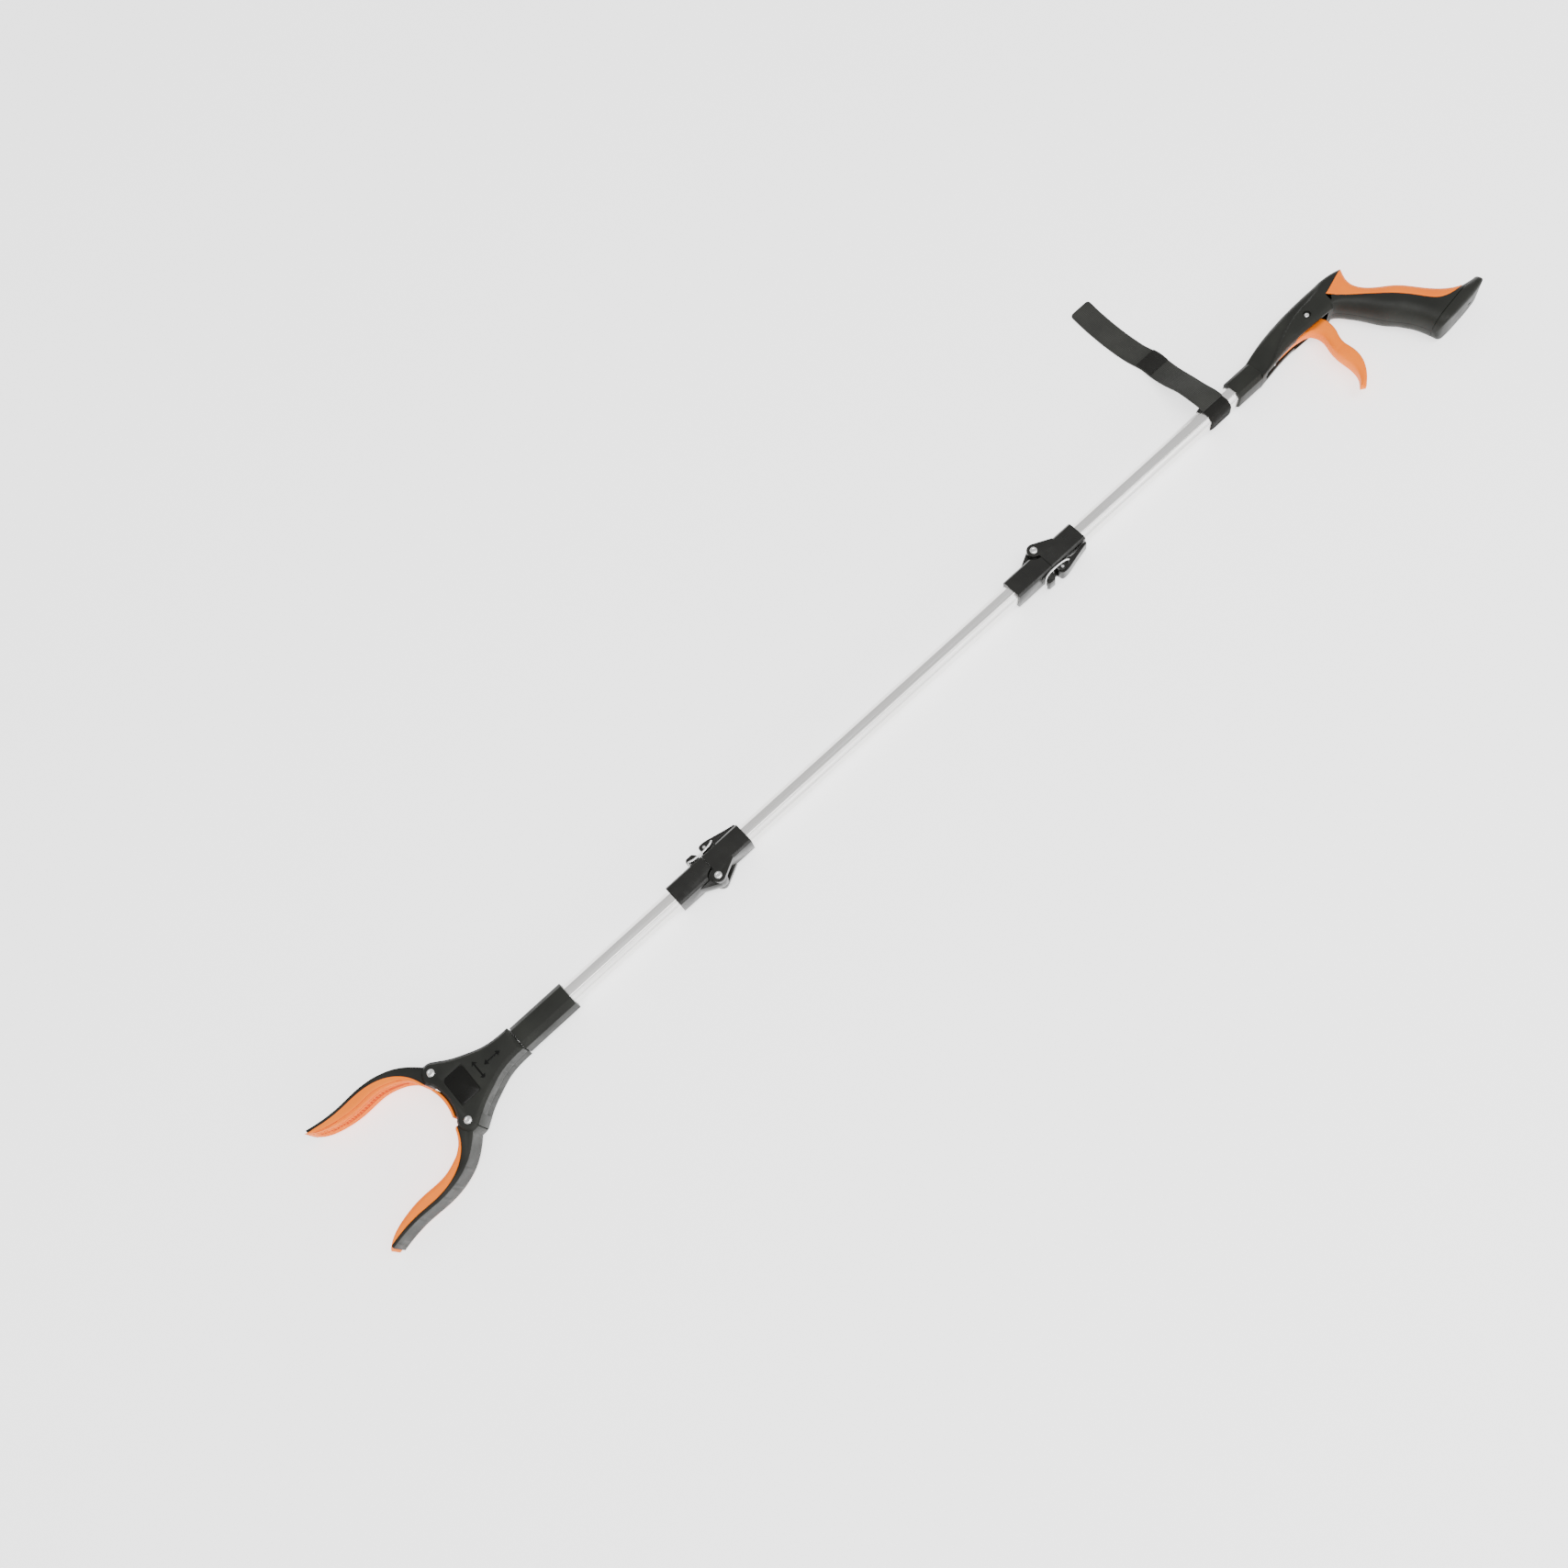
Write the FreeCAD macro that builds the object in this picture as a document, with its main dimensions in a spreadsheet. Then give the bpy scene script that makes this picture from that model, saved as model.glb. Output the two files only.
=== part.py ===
"""Folding reacher grabber lying on its side: three tube sections joined by two latched fold joints,
a pistol handle with a trigger, a wrist strap, and a head that turns and carries two padded jaws.

Row frame: +X runs along the tube from the jaws to the handle, +Z is up, and the origin is under
the middle of the whole object's box. Every sub-part is drawn about the tube's axis, with x counted
from the middle of the object's length, and is then placed at (0, axis_y, axis_z).
"""
import FreeCAD, Part
import math
import os

os.makedirs("parts", exist_ok=True)
doc = FreeCAD.newDocument("reacher_grabber")

# ---------------------------------------------------------------- driving dimensions, in millimetres
DIMENSIONS = {
    "axis_y": -36.7,            # the tube's axis in the row frame
    "axis_z": 14.5,
    "half_length": 550.0,       # the whole object is 1100 long
    "tube_wide": 14.5,          # the tube's section: a stretched octagon, wide in Y and deep in Z
    "tube_deep": 16.5,
    "tube_bevel": 3.8,
    "tube_wall": 1.1,
    "fit": 0.05,                # clearance of pins, shafts and sockets
    "gap": 0.3,                 # clearance between moving faces
    "pin_one_x": 139.5,         # the fold joint nearer the handle
    "pin_two_x": -206.0,        # the fold joint nearer the jaws
    "pin_offset": 11.5,         # from the tube's axis out to a fold joint's pin
    "fold_half": 35.0,          # half the length of a fold joint's body
    "fold_wide": 18.0,
    "fold_deep": 19.0,
    "fold_bevel": 1.6,
    "socket_start": 10.0,       # from a fold joint's pin plane to the end of the tube in it
    "knuckle": 5.5,             # radius of the knuckle round a fold joint's pin
    "knuckle_relief": 8.0,
    "tongue_half": 4.8,         # half the thickness of the middle knuckle
    "pin_radius": 2.0,
    "pin_head": 3.0,
    "latch_half": 5.0,          # half the width of a latch lever and of its hook
    "wire_radius": 0.8,
    "bail_half": 8.2,           # half the width of the wire bail
    "collar_start": 345.0,      # front of the handle's collar
    "collar_end": 370.0,
    "collar_wide": 18.0,
    "collar_deep": 19.0,
    "collar_bevel": 3.0,
    "body_half": 11.5,          # half the thickness of the handle's barrel
    "grip_half": 14.5,          # half the thickness of the grip
    "shell_wall": 2.6,
    "trigger_x": 432.5,         # the trigger's pivot
    "trigger_y": 4.0,
    "arm_half": 3.4,            # half the thickness of the trigger's forward arm
    "blade_half": 7.0,          # half the width of the finger blade
    "cable_radius": 0.8,
    "sleeve_start": -392.0,     # the sleeve that holds the head on the lower tube
    "sleeve_end": -344.0,
    "sleeve_wide": 20.0,
    "sleeve_deep": 21.6,
    "sleeve_bevel": 4.0,
    "spigot_radius": 6.5,
    "spigot_bore": 4.2,
    "head_half": 13.3,          # half the thickness of the head, under the rivets' domes
    "head_wall": 1.9,
    "head_bevel": 2.4,
    "jaw_x": -453.4,            # the jaws' rivets
    "jaw_y": 22.6,
    "jaw_half": 12.0,           # half the width of a jaw
    "ear_radius": 6.8,
    "drive_radius": 16.8,       # from a jaw's rivet to its drive pin
    "drive_angle": 19.1,        # how far the drive arm leans towards the handle at rest
    "strap_start": 314.7,
    "strap_wide": 20.5,
    "strap_thick": 1.6,
    "tail_start": 320.0,        # the strap's tail leans a little towards the handle
    "strap_reach": 152.0,       # from the tube's axis to the tail's tip
}
sheet = doc.addObject("Spreadsheet::Sheet", "dims")
for row, (alias, value) in enumerate(DIMENSIONS.items(), 1):
    sheet.set(f"A{row}", alias)
    sheet.set(f"B{row}", str(value))
    sheet.setAlias(f"B{row}", alias)
doc.recompute()


def dim(alias):
    """A driving dimension as a number, for outlines that are drawn point by point."""
    return float(sheet.get(alias))


# ---------------------------------------------------------------- drawing helpers
subparts = []


def vec(point):
    return FreeCAD.Vector(point[0], point[1], 0)


def runs(*pieces):
    """A closed loop from runs that share end points: two points make a line, more make a spline."""
    edges = []
    for points in pieces:
        if len(points) == 2:
            edges.append(Part.LineSegment(vec(points[0]), vec(points[1])))
        else:
            curve = Part.BSplineCurve()
            curve.interpolate([vec(point) for point in points])
            edges.append(curve)
    return edges


def polygon(points):
    return runs(*[(points[i - 1], points[i]) for i in range(len(points))])


def octagon(wide, deep, bevel):
    """A rectangle with cut corners, wide along the sketch's first axis."""
    a = wide / 2
    b = deep / 2
    return polygon([
        (a - bevel, b), (bevel - a, b), (-a, b - bevel), (-a, bevel - b),
        (bevel - a, -b), (a - bevel, -b), (a, bevel - b), (a, b - bevel)])


def ring(centre, radius):
    return [Part.Circle(vec(centre), FreeCAD.Vector(0, 0, 1), radius)]


def rectangle(low, high):
    return polygon([low, (high[0], low[1]), high, (low[0], high[1])])


def mirrored(points):
    return [(x, -y) for x, y in reversed(points)]


def new_body(label, shift_x="0", flip=False):
    """A body placed on the tube's axis. flip turns it half a turn about that axis."""
    body = doc.addObject("PartDesign::Body", label)
    body.Label = label
    turn = FreeCAD.Rotation(FreeCAD.Vector(1, 0, 0), 180 if flip else 0)
    body.Placement = FreeCAD.Placement(FreeCAD.Vector(0, 0, 0), turn)
    body.setExpression(".Placement.Base.x", shift_x)
    body.setExpression(".Placement.Base.y", "dims.axis_y")
    body.setExpression(".Placement.Base.z", "dims.axis_z")
    subparts.append(body)
    return body


def draw(body, role, height, *loops):
    """A sketch on one of the body's own planes, moved along its normal by an expression."""
    sketch = body.newObject("Sketcher::SketchObject", body.Label + "_sketch")
    plane = next(feature for feature in body.Origin.OriginFeatures if feature.Role == role)
    sketch.AttachmentSupport = [(plane, "")]
    sketch.MapMode = "FlatFace"
    sketch.setExpression(".AttachmentOffset.Base.z", height)
    for loop in loops:
        for edge in loop:
            sketch.addGeometry(edge, False)
    return sketch


def pad(body, role, low, high, *loops):
    """Material between two heights, both expressions."""
    feature = body.newObject("PartDesign::Pad", body.Label + "_pad")
    feature.Profile = draw(body, role, low, *loops)
    feature.setExpression("Length", f"({high}) - ({low})")
    doc.recompute()
    return feature


def cut(body, role, low, high, *loops):
    """A hollow between two heights. It must remove material."""
    before = body.Shape.Volume
    feature = body.newObject("PartDesign::Pocket", body.Label + "_cut")
    feature.Profile = draw(body, role, high, *loops)
    feature.setExpression("Length", f"({high}) - ({low})")
    doc.recompute()
    if body.Shape.Volume >= before:
        raise ValueError(f"a cut in {body.Label} removes nothing")
    return feature


def bevel_rim(body, feature, height, size):
    """Bevels the edges of a pad that lie at one height along Z. size is an expression."""
    rim = [
        f"Edge{i}" for i, edge in enumerate(feature.Shape.Edges, 1)
        if abs(edge.BoundBox.ZMin - height) < 1e-4 and abs(edge.BoundBox.ZMax - height) < 1e-4]
    chamfer = body.newObject("PartDesign::Chamfer", body.Label + "_bevel")
    chamfer.Base = (feature, rim)
    chamfer.setExpression("Size", size)
    doc.recompute()
    return chamfer


def finish_part(label, features, shift_x="0", flip=False):
    """A sub-part made of Part features drawn about the tube's axis, placed as new_body places one."""
    placed = doc.addObject("Part::Compound", label)
    for number, feature in enumerate(features, 1):
        feature.Label = f"{label}_piece_{number}"
    placed.Label = label
    placed.Links = features
    turn = FreeCAD.Rotation(FreeCAD.Vector(1, 0, 0), 180 if flip else 0)
    placed.Placement = FreeCAD.Placement(FreeCAD.Vector(0, 0, 0), turn)
    placed.setExpression(".Placement.Base.x", shift_x)
    placed.setExpression(".Placement.Base.y", "dims.axis_y")
    placed.setExpression(".Placement.Base.z", "dims.axis_z")
    subparts.append(placed)


def cylinder(name, radius, low, high, x="0", y="0"):
    """A cylinder along Z between two heights, all expressions about the tube's axis."""
    shape = doc.addObject("Part::Cylinder", name)
    shape.setExpression("Radius", radius)
    shape.setExpression("Height", f"({high}) - ({low})")
    shape.setExpression(".Placement.Base.x", x)
    shape.setExpression(".Placement.Base.y", y)
    shape.setExpression(".Placement.Base.z", low)
    return shape


def rivet(name, radius, head, half, x, y):
    """A shank with a low domed head at each end, along Z."""
    pieces = [cylinder(name + "_shank", radius, f"-({half})", half, x, y)]
    for side in (1, -1):
        dome = doc.addObject("Part::Cone", name + "_head")
        dome.setExpression("Radius1", head)
        dome.setExpression("Radius2", f"({head}) * 0.55")
        dome.setExpression("Height", f"({head}) * 0.4")
        dome.Placement.Rotation = FreeCAD.Rotation(FreeCAD.Vector(1, 0, 0), 0 if side > 0 else 180)
        dome.setExpression(".Placement.Base.x", x)
        dome.setExpression(".Placement.Base.y", y)
        dome.setExpression(".Placement.Base.z", f"({half}) * {side}")
        pieces.append(dome)
    fused = doc.addObject("Part::MultiFuse", name)
    fused.Shapes = pieces
    return fused


def rod(label, radius, start, end):
    """A round rod along the tube's axis."""
    body = new_body(label)
    pad(body, "YZ_Plane", start, end, ring((0, 0), dim(radius)))
    return body


# ---------------------------------------------------------------- tubes
def tube(label, start, end):
    wide, deep, bevel, wall = dim("tube_wide"), dim("tube_deep"), dim("tube_bevel"), dim("tube_wall")
    inner_bevel = bevel - wall * (2 - math.sqrt(2))
    body = new_body(label)
    pad(body, "YZ_Plane", start, end, octagon(wide, deep, bevel),
        octagon(wide - 2 * wall, deep - 2 * wall, inner_bevel))


TUBE_IN_COLLAR = 4.0
TUBE_IN_SLEEVE = 28.0
tube("upper_tube", "dims.pin_one_x + dims.socket_start", f"dims.collar_end - {TUBE_IN_COLLAR}")
tube("middle_tube", "dims.pin_two_x + dims.socket_start", "dims.pin_one_x - dims.socket_start")
tube("lower_tube", f"dims.sleeve_end - {TUBE_IN_SLEEVE}", "dims.pin_two_x - dims.socket_start")


def tube_socket():
    """The hole that takes a tube's end."""
    play = 2 * dim("fit")
    return octagon(dim("tube_wide") + play, dim("tube_deep") + play, dim("tube_bevel"))


# ---------------------------------------------------------------- fold joints
# Drawn with the pin over the origin at +Y and the latch on the -Y side. The joint nearer the jaws
# is the same set of pieces turned half a turn about the tube.
CABLE_BORE = 3.0
SLOPE_START = 17.0
HOOK = [(-10.5, -8.8), (-8.6, -10.4), (-8.6, -13.0), (-11.2, -14.2), (-9.6, -16.0),
        (-4.2, -16.0), (-1.6, -13.0), (-1.6, -8.8)]
LEVER_TOP = [(2.9, -13.0), (3.6, -16.4), (8.0, -17.0), (16.0, -15.4), (25.0, -13.2), (34.0, -11.4)]
LEVER_UNDER = [(34.4, -9.7), (29.0, -9.7), (22.0, -10.9), (17.5, -10.6), (16.0, -9.6),
               (5.0, -9.6), (3.6, -10.8)]
LEVER_PIVOT = (6.5, -13.0)
BAIL_PIVOT = (13.5, -12.3)
BAIL_HOOKED = (-9.9, -11.9)
LEVER_PIN = 1.2
LUG_THICK = 1.7
LUG = [(2.0, -8.8), (3.8, -14.6), (6.5, -15.6), (9.2, -14.6), (11.0, -8.8)]


def knuckle_outline(side):
    """A fold knuckle: a round boss at the pin, run down a straight slope onto the joint's body."""
    centre = (0.0, dim("pin_offset"))
    radius = dim("knuckle")
    foot = (SLOPE_START, dim("fold_wide") / 2 - 0.1)
    reach = math.hypot(foot[0] - centre[0], foot[1] - centre[1])
    lean = math.atan2(foot[1] - centre[1], foot[0] - centre[0]) + math.acos(radius / reach)
    touch = (radius * math.cos(lean), centre[1] + radius * math.sin(lean))
    base = (0.0, centre[1] - radius)
    far_side = (-radius, centre[1])

    def turned(point):
        return vec((side * point[0], point[1]))

    return [
        Part.LineSegment(turned(foot), turned(touch)),
        Part.Arc(turned(touch), turned(far_side), turned(base)),
        Part.LineSegment(turned(base), turned((SLOPE_START, base[1]))),
        Part.LineSegment(turned((SLOPE_START, base[1])), turned(foot))]


def fold_half_block(label, pin_x, side, flip):
    """One half's block, side +1 towards the handle, with its tube socket and cable bore."""
    body = new_body(label, pin_x, flip)
    near = "dims.gap / 2"
    far = "dims.fold_half"
    low, high = (near, far) if side > 0 else (f"-{far}", f"-{near}")
    pad(body, "YZ_Plane", low, high,
        octagon(dim("fold_wide"), dim("fold_deep"), dim("fold_bevel")))
    return body


def fold_half_bores(body, side):
    start = "dims.socket_start"
    far = "dims.fold_half"
    if side > 0:
        cut(body, "YZ_Plane", start, far, tube_socket())
    else:
        cut(body, "YZ_Plane", f"-{far}", f"-{start}", tube_socket())
    cut(body, "YZ_Plane", "-dims.fold_half", "dims.fold_half", ring((0, 0), CABLE_BORE))


def fold_joint(prefix, pin_x, flip):
    """Two halves, the hinge pin, and the draw latch: lever, its pin and the wire bail."""
    pin = (0.0, dim("pin_offset"))
    bore = ring(pin, dim("pin_radius") + dim("fit"))
    relief = ring(pin, dim("knuckle_relief"))
    deep = "dims.fold_deep / 2"
    cheek = "dims.tongue_half + dims.gap"

    inner = fold_half_block(prefix + "_handle_half", pin_x, 1, flip)
    cut(inner, "XY_Plane", f"-({cheek})", cheek, relief)
    pad(inner, "XY_Plane", cheek, deep, knuckle_outline(1))
    pad(inner, "XY_Plane", f"-{deep}", f"-({cheek})", knuckle_outline(1))
    for side in (1, -1):
        low, high = ("dims.latch_half + dims.gap", f"dims.latch_half + dims.gap + {LUG_THICK}")
        low, high = (low, high) if side > 0 else (f"-({high})", f"-({low})")
        pad(inner, "XY_Plane", low, high, polygon(LUG))
    cut(inner, "XY_Plane", f"-{deep}", deep, bore)
    cut(inner, "XY_Plane", f"-{deep}", deep, ring(LEVER_PIVOT, LEVER_PIN + dim("fit")))
    fold_half_bores(inner, 1)

    outer = fold_half_block(prefix + "_jaw_half", pin_x, -1, flip)
    cut(outer, "XY_Plane", "dims.tongue_half", deep, relief)
    cut(outer, "XY_Plane", f"-{deep}", "-dims.tongue_half", relief)
    pad(outer, "XY_Plane", "-dims.tongue_half", "dims.tongue_half", knuckle_outline(-1))
    pad(outer, "XY_Plane", "-dims.latch_half", "dims.latch_half", polygon(HOOK))
    cut(outer, "XY_Plane", f"-{deep}", deep, bore)
    fold_half_bores(outer, -1)

    hinge_pin = rivet(prefix + "_hinge", "dims.pin_radius", "dims.pin_head", deep, "0", "dims.pin_offset")
    pin_end = f"dims.latch_half + dims.gap + {LUG_THICK}"
    lever_pin = cylinder(prefix + "_lever", str(LEVER_PIN), f"-({pin_end})", pin_end,
                         str(LEVER_PIVOT[0]), str(LEVER_PIVOT[1]))
    finish_part(prefix + "_hinge_pin", [hinge_pin], pin_x, flip)
    finish_part(prefix + "_lever_pin", [lever_pin], pin_x, flip)

    lever = new_body(prefix + "_latch_lever", pin_x, flip)
    pad(lever, "XY_Plane", "-dims.latch_half", "dims.latch_half",
        runs(LEVER_TOP, (LEVER_TOP[-1], LEVER_UNDER[0]),
             *[LEVER_UNDER[i:i + 2] for i in range(len(LEVER_UNDER) - 1)],
             (LEVER_UNDER[-1], LEVER_TOP[0])))
    cut(lever, "XY_Plane", "-dims.latch_half", "dims.latch_half",
        ring(LEVER_PIVOT, LEVER_PIN + dim("fit")),
        ring(BAIL_PIVOT, dim("wire_radius") + dim("fit")))

    wire = new_body(prefix + "_latch_bail", pin_x, flip)
    radius = dim("wire_radius")
    arm_low = "dims.bail_half - dims.wire_radius"
    arm_high = "dims.bail_half + dims.wire_radius"
    lean = math.atan2(BAIL_HOOKED[1] - BAIL_PIVOT[1], BAIL_HOOKED[0] - BAIL_PIVOT[0])
    across = (-radius * math.sin(lean), radius * math.cos(lean))
    side_bar = polygon([
        (BAIL_PIVOT[0] + across[0], BAIL_PIVOT[1] + across[1]),
        (BAIL_HOOKED[0] + across[0], BAIL_HOOKED[1] + across[1]),
        (BAIL_HOOKED[0] - across[0], BAIL_HOOKED[1] - across[1]),
        (BAIL_PIVOT[0] - across[0], BAIL_PIVOT[1] - across[1])])
    pad(wire, "XY_Plane", f"-({arm_high})", arm_high, ring(BAIL_HOOKED, radius))
    pad(wire, "XY_Plane", arm_low, arm_high, side_bar)
    pad(wire, "XY_Plane", f"-({arm_high})", f"-({arm_low})", side_bar)
    pad(wire, "XY_Plane", f"-({arm_high})", arm_high, ring(BAIL_PIVOT, radius))


fold_joint("fold_one", "dims.pin_one_x", False)
fold_joint("fold_two", "dims.pin_two_x", True)

# ---------------------------------------------------------------- handle
collar = new_body("handle_collar")
pad(collar, "YZ_Plane", "dims.collar_start", "dims.collar_end",
    octagon(dim("collar_wide"), dim("collar_deep"), dim("collar_bevel")))
cut(collar, "YZ_Plane", "dims.collar_start", f"dims.collar_end - {TUBE_IN_COLLAR}", tube_socket())
cut(collar, "YZ_Plane", "dims.collar_start", "dims.collar_end", ring((0, 0), CABLE_BORE))

SPINE = [(370.0, 9.0), (385.0, 13.2), (405.0, 17.2), (430.0, 19.4), (455.0, 19.9), (474.0, 18.6), (485.5, 15.6)]
BACK = [(485.5, 15.6), (481.5, 8.0), (479.5, -1.0), (484.5, -11.0), (500.0, -25.0), (512.5, -42.5),
        (524.0, -56.0), (536.0, -62.6), (546.5, -64.2)]
BUTT_SEAM = [(546.5, -64.2), (490.3, -71.8)]
FRONT = [(490.3, -71.8), (487.0, -60.0), (480.5, -49.0), (475.5, -41.5), (468.0, -28.0),
         (459.5, -13.2), (453.5, -7.0), (447.0, -5.6)]
BELLY = [(447.0, -5.6), (425.0, -4.6), (400.0, -5.0), (384.0, -7.0), (370.0, -9.0)]
NOSE = [(370.0, -9.0), (370.0, 9.0)]
BACK_PAD = [(456.0, 6.4), (463.0, -2.5), (474.0, -16.0), (490.0, -33.0), (501.5, -50.0), (508.5, -59.5),
            (517.0, -63.6), (531.0, -64.4)]
PAD_OUTER = [(531.0, -60.4), (524.0, -56.0), (512.5, -42.5), (500.0, -25.0),
             (484.5, -11.0), (479.5, -1.0), (481.5, 8.0), (485.5, 15.6)]
SCREWS = [(393.0, 8.0, "dims.body_half"), (459.0, 14.2, "dims.body_half"), (498.0, -65.0, "dims.grip_half")]
SCREW_RADIUS = 1.5
SCREW_HEAD = 3.0
SCREW_SINK = 2.2
BOSS_RADIUS = 3.4
OPENING_END = 450.5
NOSE_DEEP = 10.0
BARREL = [(360.0, -14.0), (452.0, -14.0), (464.0, 24.0), (360.0, 24.0)]


def handle_outline():
    return runs(SPINE, BACK, BUTT_SEAM, FRONT, BELLY, NOSE)


def back_pad_seat():
    """The part of the handle's outline that the back pad takes, run out past the handle."""
    return runs(BACK_PAD, [BACK_PAD[-1], (531.0, -45.0)], [(531.0, -45.0), (515.0, 24.8)],
                [(515.0, 24.8), BACK_PAD[0]])


def handle_shell(label, side):
    """One moulded half of the handle: side +1 is the upper one as the object lies."""
    body = new_body(label)

    def between(low, high):
        return (low, high) if side > 0 else (f"-({high})", f"-({low})")

    pad(body, "XY_Plane", *between("0", "dims.grip_half"), handle_outline())
    cut(body, "XY_Plane", *between("dims.body_half", "dims.grip_half"), polygon(BARREL))
    inside = "dims.body_half - dims.shell_wall"
    cut(body, "XY_Plane", *between("0", inside),
        polygon([(374.0, -2.4), (374.0, 8.0), (388.0, 12.4), (405.0, 14.6), (OPENING_END, 16.6),
                 (OPENING_END, -2.4)]))
    cut(body, "XY_Plane", *between("0", "dims.arm_half + dims.gap * 2"),
        rectangle((378.0, -12.0), (OPENING_END, -2.0)))
    cut(body, "XY_Plane", *between("0", "dims.blade_half + dims.gap * 2"),
        rectangle((414.0, -12.0), (OPENING_END, -2.0)))
    cut(body, "XY_Plane", *between("0", "dims.grip_half - dims.shell_wall"),
        polygon([(466.0, -14.0), (472.0, -18.5), (487.0, -35.0), (498.0, -52.0), (505.0, -62.5),
                 (517.0, -66.5), (520.0, -67.0), (494.0, -69.5), (490.0, -60.5), (478.0, -40.5),
                 (464.0, -15.0)]))
    cut(body, "XY_Plane", "-dims.grip_half", "dims.grip_half", back_pad_seat())
    for x, y, half in SCREWS:
        pad(body, "XY_Plane", *between("0", "dims.body_half - 1"), ring((x, y), BOSS_RADIUS))
        hole = ring((x, y), SCREW_RADIUS + dim("fit"))
        if side > 0:
            cut(body, "XY_Plane", "0", "dims.body_half - 2", hole)
        else:
            cut(body, "XY_Plane", "-dims.grip_half", "0", hole)
            cut(body, "XY_Plane", "-dims.grip_half", f"{SCREW_SINK} - {half}", ring((x, y), SCREW_HEAD + 0.1))
    cut(body, "YZ_Plane", "dims.collar_end", f"dims.collar_end + {NOSE_DEEP}", ring((0, 0), CABLE_BORE))
    cut(body, "XY_Plane", *between("0", "dims.grip_half"),
        ring((dim("trigger_x"), dim("trigger_y")), dim("pin_radius") + dim("fit")))
    return body


handle_shell("handle_shell_near", 1)
handle_shell("handle_shell_far", -1)

back_pad = new_body("back_pad")
pad(back_pad, "XY_Plane", "-dims.grip_half + 0.7", "dims.grip_half - 0.7",
    runs(BACK_PAD, [BACK_PAD[-1], PAD_OUTER[0]], PAD_OUTER, [PAD_OUTER[-1], BACK_PAD[0]]))

CAP_BOTTOM = [(490.3, -71.8), (488.8, -76.0), (495.0, -78.4), (515.0, -77.6), (544.0, -73.8),
              (dim("half_length"), -68.6), (546.5, -64.2)]
cap = new_body("butt_cap")
pad(cap, "XY_Plane", "-dims.grip_half", "dims.grip_half", runs(CAP_BOTTOM, BUTT_SEAM))
cut(cap, "XY_Plane", "-1.3", "1.3", rectangle((527.0, -80.0), (533.5, -73.0)))

trigger_pivot = rivet("trigger_pivot", "dims.pin_radius", "dims.pin_head", "dims.body_half",
                    "dims.trigger_x", "dims.trigger_y")
finish_part("trigger_pin", [trigger_pivot])

screw_list = []
for x, y, half in SCREWS:
    seat = f"{half} - {SCREW_SINK}"
    shank = cylinder("screw_shank", str(SCREW_RADIUS), f"-({seat})", "dims.body_half - 2.4", str(x), str(y))
    head = cylinder("screw_head", str(SCREW_HEAD), f"0.4 - {half}", f"-({seat})", str(x), str(y))
    screw = doc.addObject("Part::Fuse", "screw")
    screw.Base = shank
    screw.Tool = head
    screw_list.append(screw)
finish_part("handle_screws", screw_list)

# ---------------------------------------------------------------- trigger and its wire
TRIGGER_TOP = [(387.0, -1.6), (402.0, 0.4), (418.0, 3.6), (427.0, 10.0), (435.0, 11.4), (440.4, 6.0), (442.4, -1.5)]
TRIGGER_BACK = [(442.4, -1.5), (442.9, -8.5), (441.3, -19.5), (437.2, -29.0), (437.2, -41.0),
                (434.0, -53.5), (427.0, -63.0), (419.0, -69.6)]
TRIGGER_FRONT = [(415.3, -67.0), (421.8, -60.0), (425.2, -50.0), (425.4, -38.0), (427.6, -26.0),
                 (430.4, -16.0), (428.0, -8.0), (420.0, -4.9)]
NIPPLE = (389.6, -3.4)
NIPPLE_RADIUS = 1.6
trigger = new_body("trigger")
pad(trigger, "XY_Plane", "-dims.blade_half", "dims.blade_half",
    runs(TRIGGER_TOP, TRIGGER_BACK, [TRIGGER_BACK[-1], TRIGGER_FRONT[0]], TRIGGER_FRONT,
         [TRIGGER_FRONT[-1], (387.0, -5.6)], [(387.0, -5.6), TRIGGER_TOP[0]]))
for low, high in (("dims.arm_half", "dims.blade_half"), ("-dims.blade_half", "-dims.arm_half")):
    cut(trigger, "XY_Plane", low, high, rectangle((380.0, -8.5), (422.5, 14.0)))
cut(trigger, "XY_Plane", "-dims.blade_half", "dims.blade_half",
    ring((dim("trigger_x"), dim("trigger_y")), dim("pin_radius") + dim("fit")),
    ring(NIPPLE, NIPPLE_RADIUS + dim("fit")))
nipple = cylinder("cable_nipple", str(NIPPLE_RADIUS), "-dims.arm_half", "dims.arm_half",
                  str(NIPPLE[0]), str(NIPPLE[1]))
finish_part("cable_nipple", [nipple])

rod("cable_upper", "cable_radius", "dims.pin_one_x + dims.socket_start + 1", "dims.collar_end + 1")
rod("cable_middle", "cable_radius", "dims.pin_two_x + dims.socket_start + 1", "dims.pin_one_x - dims.socket_start")
CABLE_END = -399.0
rod("cable_lower", "cable_radius", str(CABLE_END), "dims.pin_two_x - dims.socket_start")
rod("cable_bend_one", "cable_radius", "dims.pin_one_x - dims.socket_start + 0.2",
    "dims.pin_one_x + dims.socket_start + 0.8")
rod("cable_bend_two", "cable_radius", "dims.pin_two_x - dims.socket_start + 0.2",
    "dims.pin_two_x + dims.socket_start + 0.8")
wire_start = (dim("collar_end") + 1.2, 0.0)
wire_run = (NIPPLE[0] - NIPPLE_RADIUS - 1.2 - wire_start[0], NIPPLE[1] - wire_start[1])
wire_length = math.hypot(wire_run[0], wire_run[1])
wire = doc.addObject("Part::Cylinder", "wire")
wire.setExpression("Radius", "dims.cable_radius")
wire.Height = wire_length
wire.Placement = FreeCAD.Placement(
    FreeCAD.Vector(wire_start[0], 0, 0),
    FreeCAD.Rotation(FreeCAD.Vector(0, 0, 1), FreeCAD.Vector(wire_run[0], wire_run[1], 0)))
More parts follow.
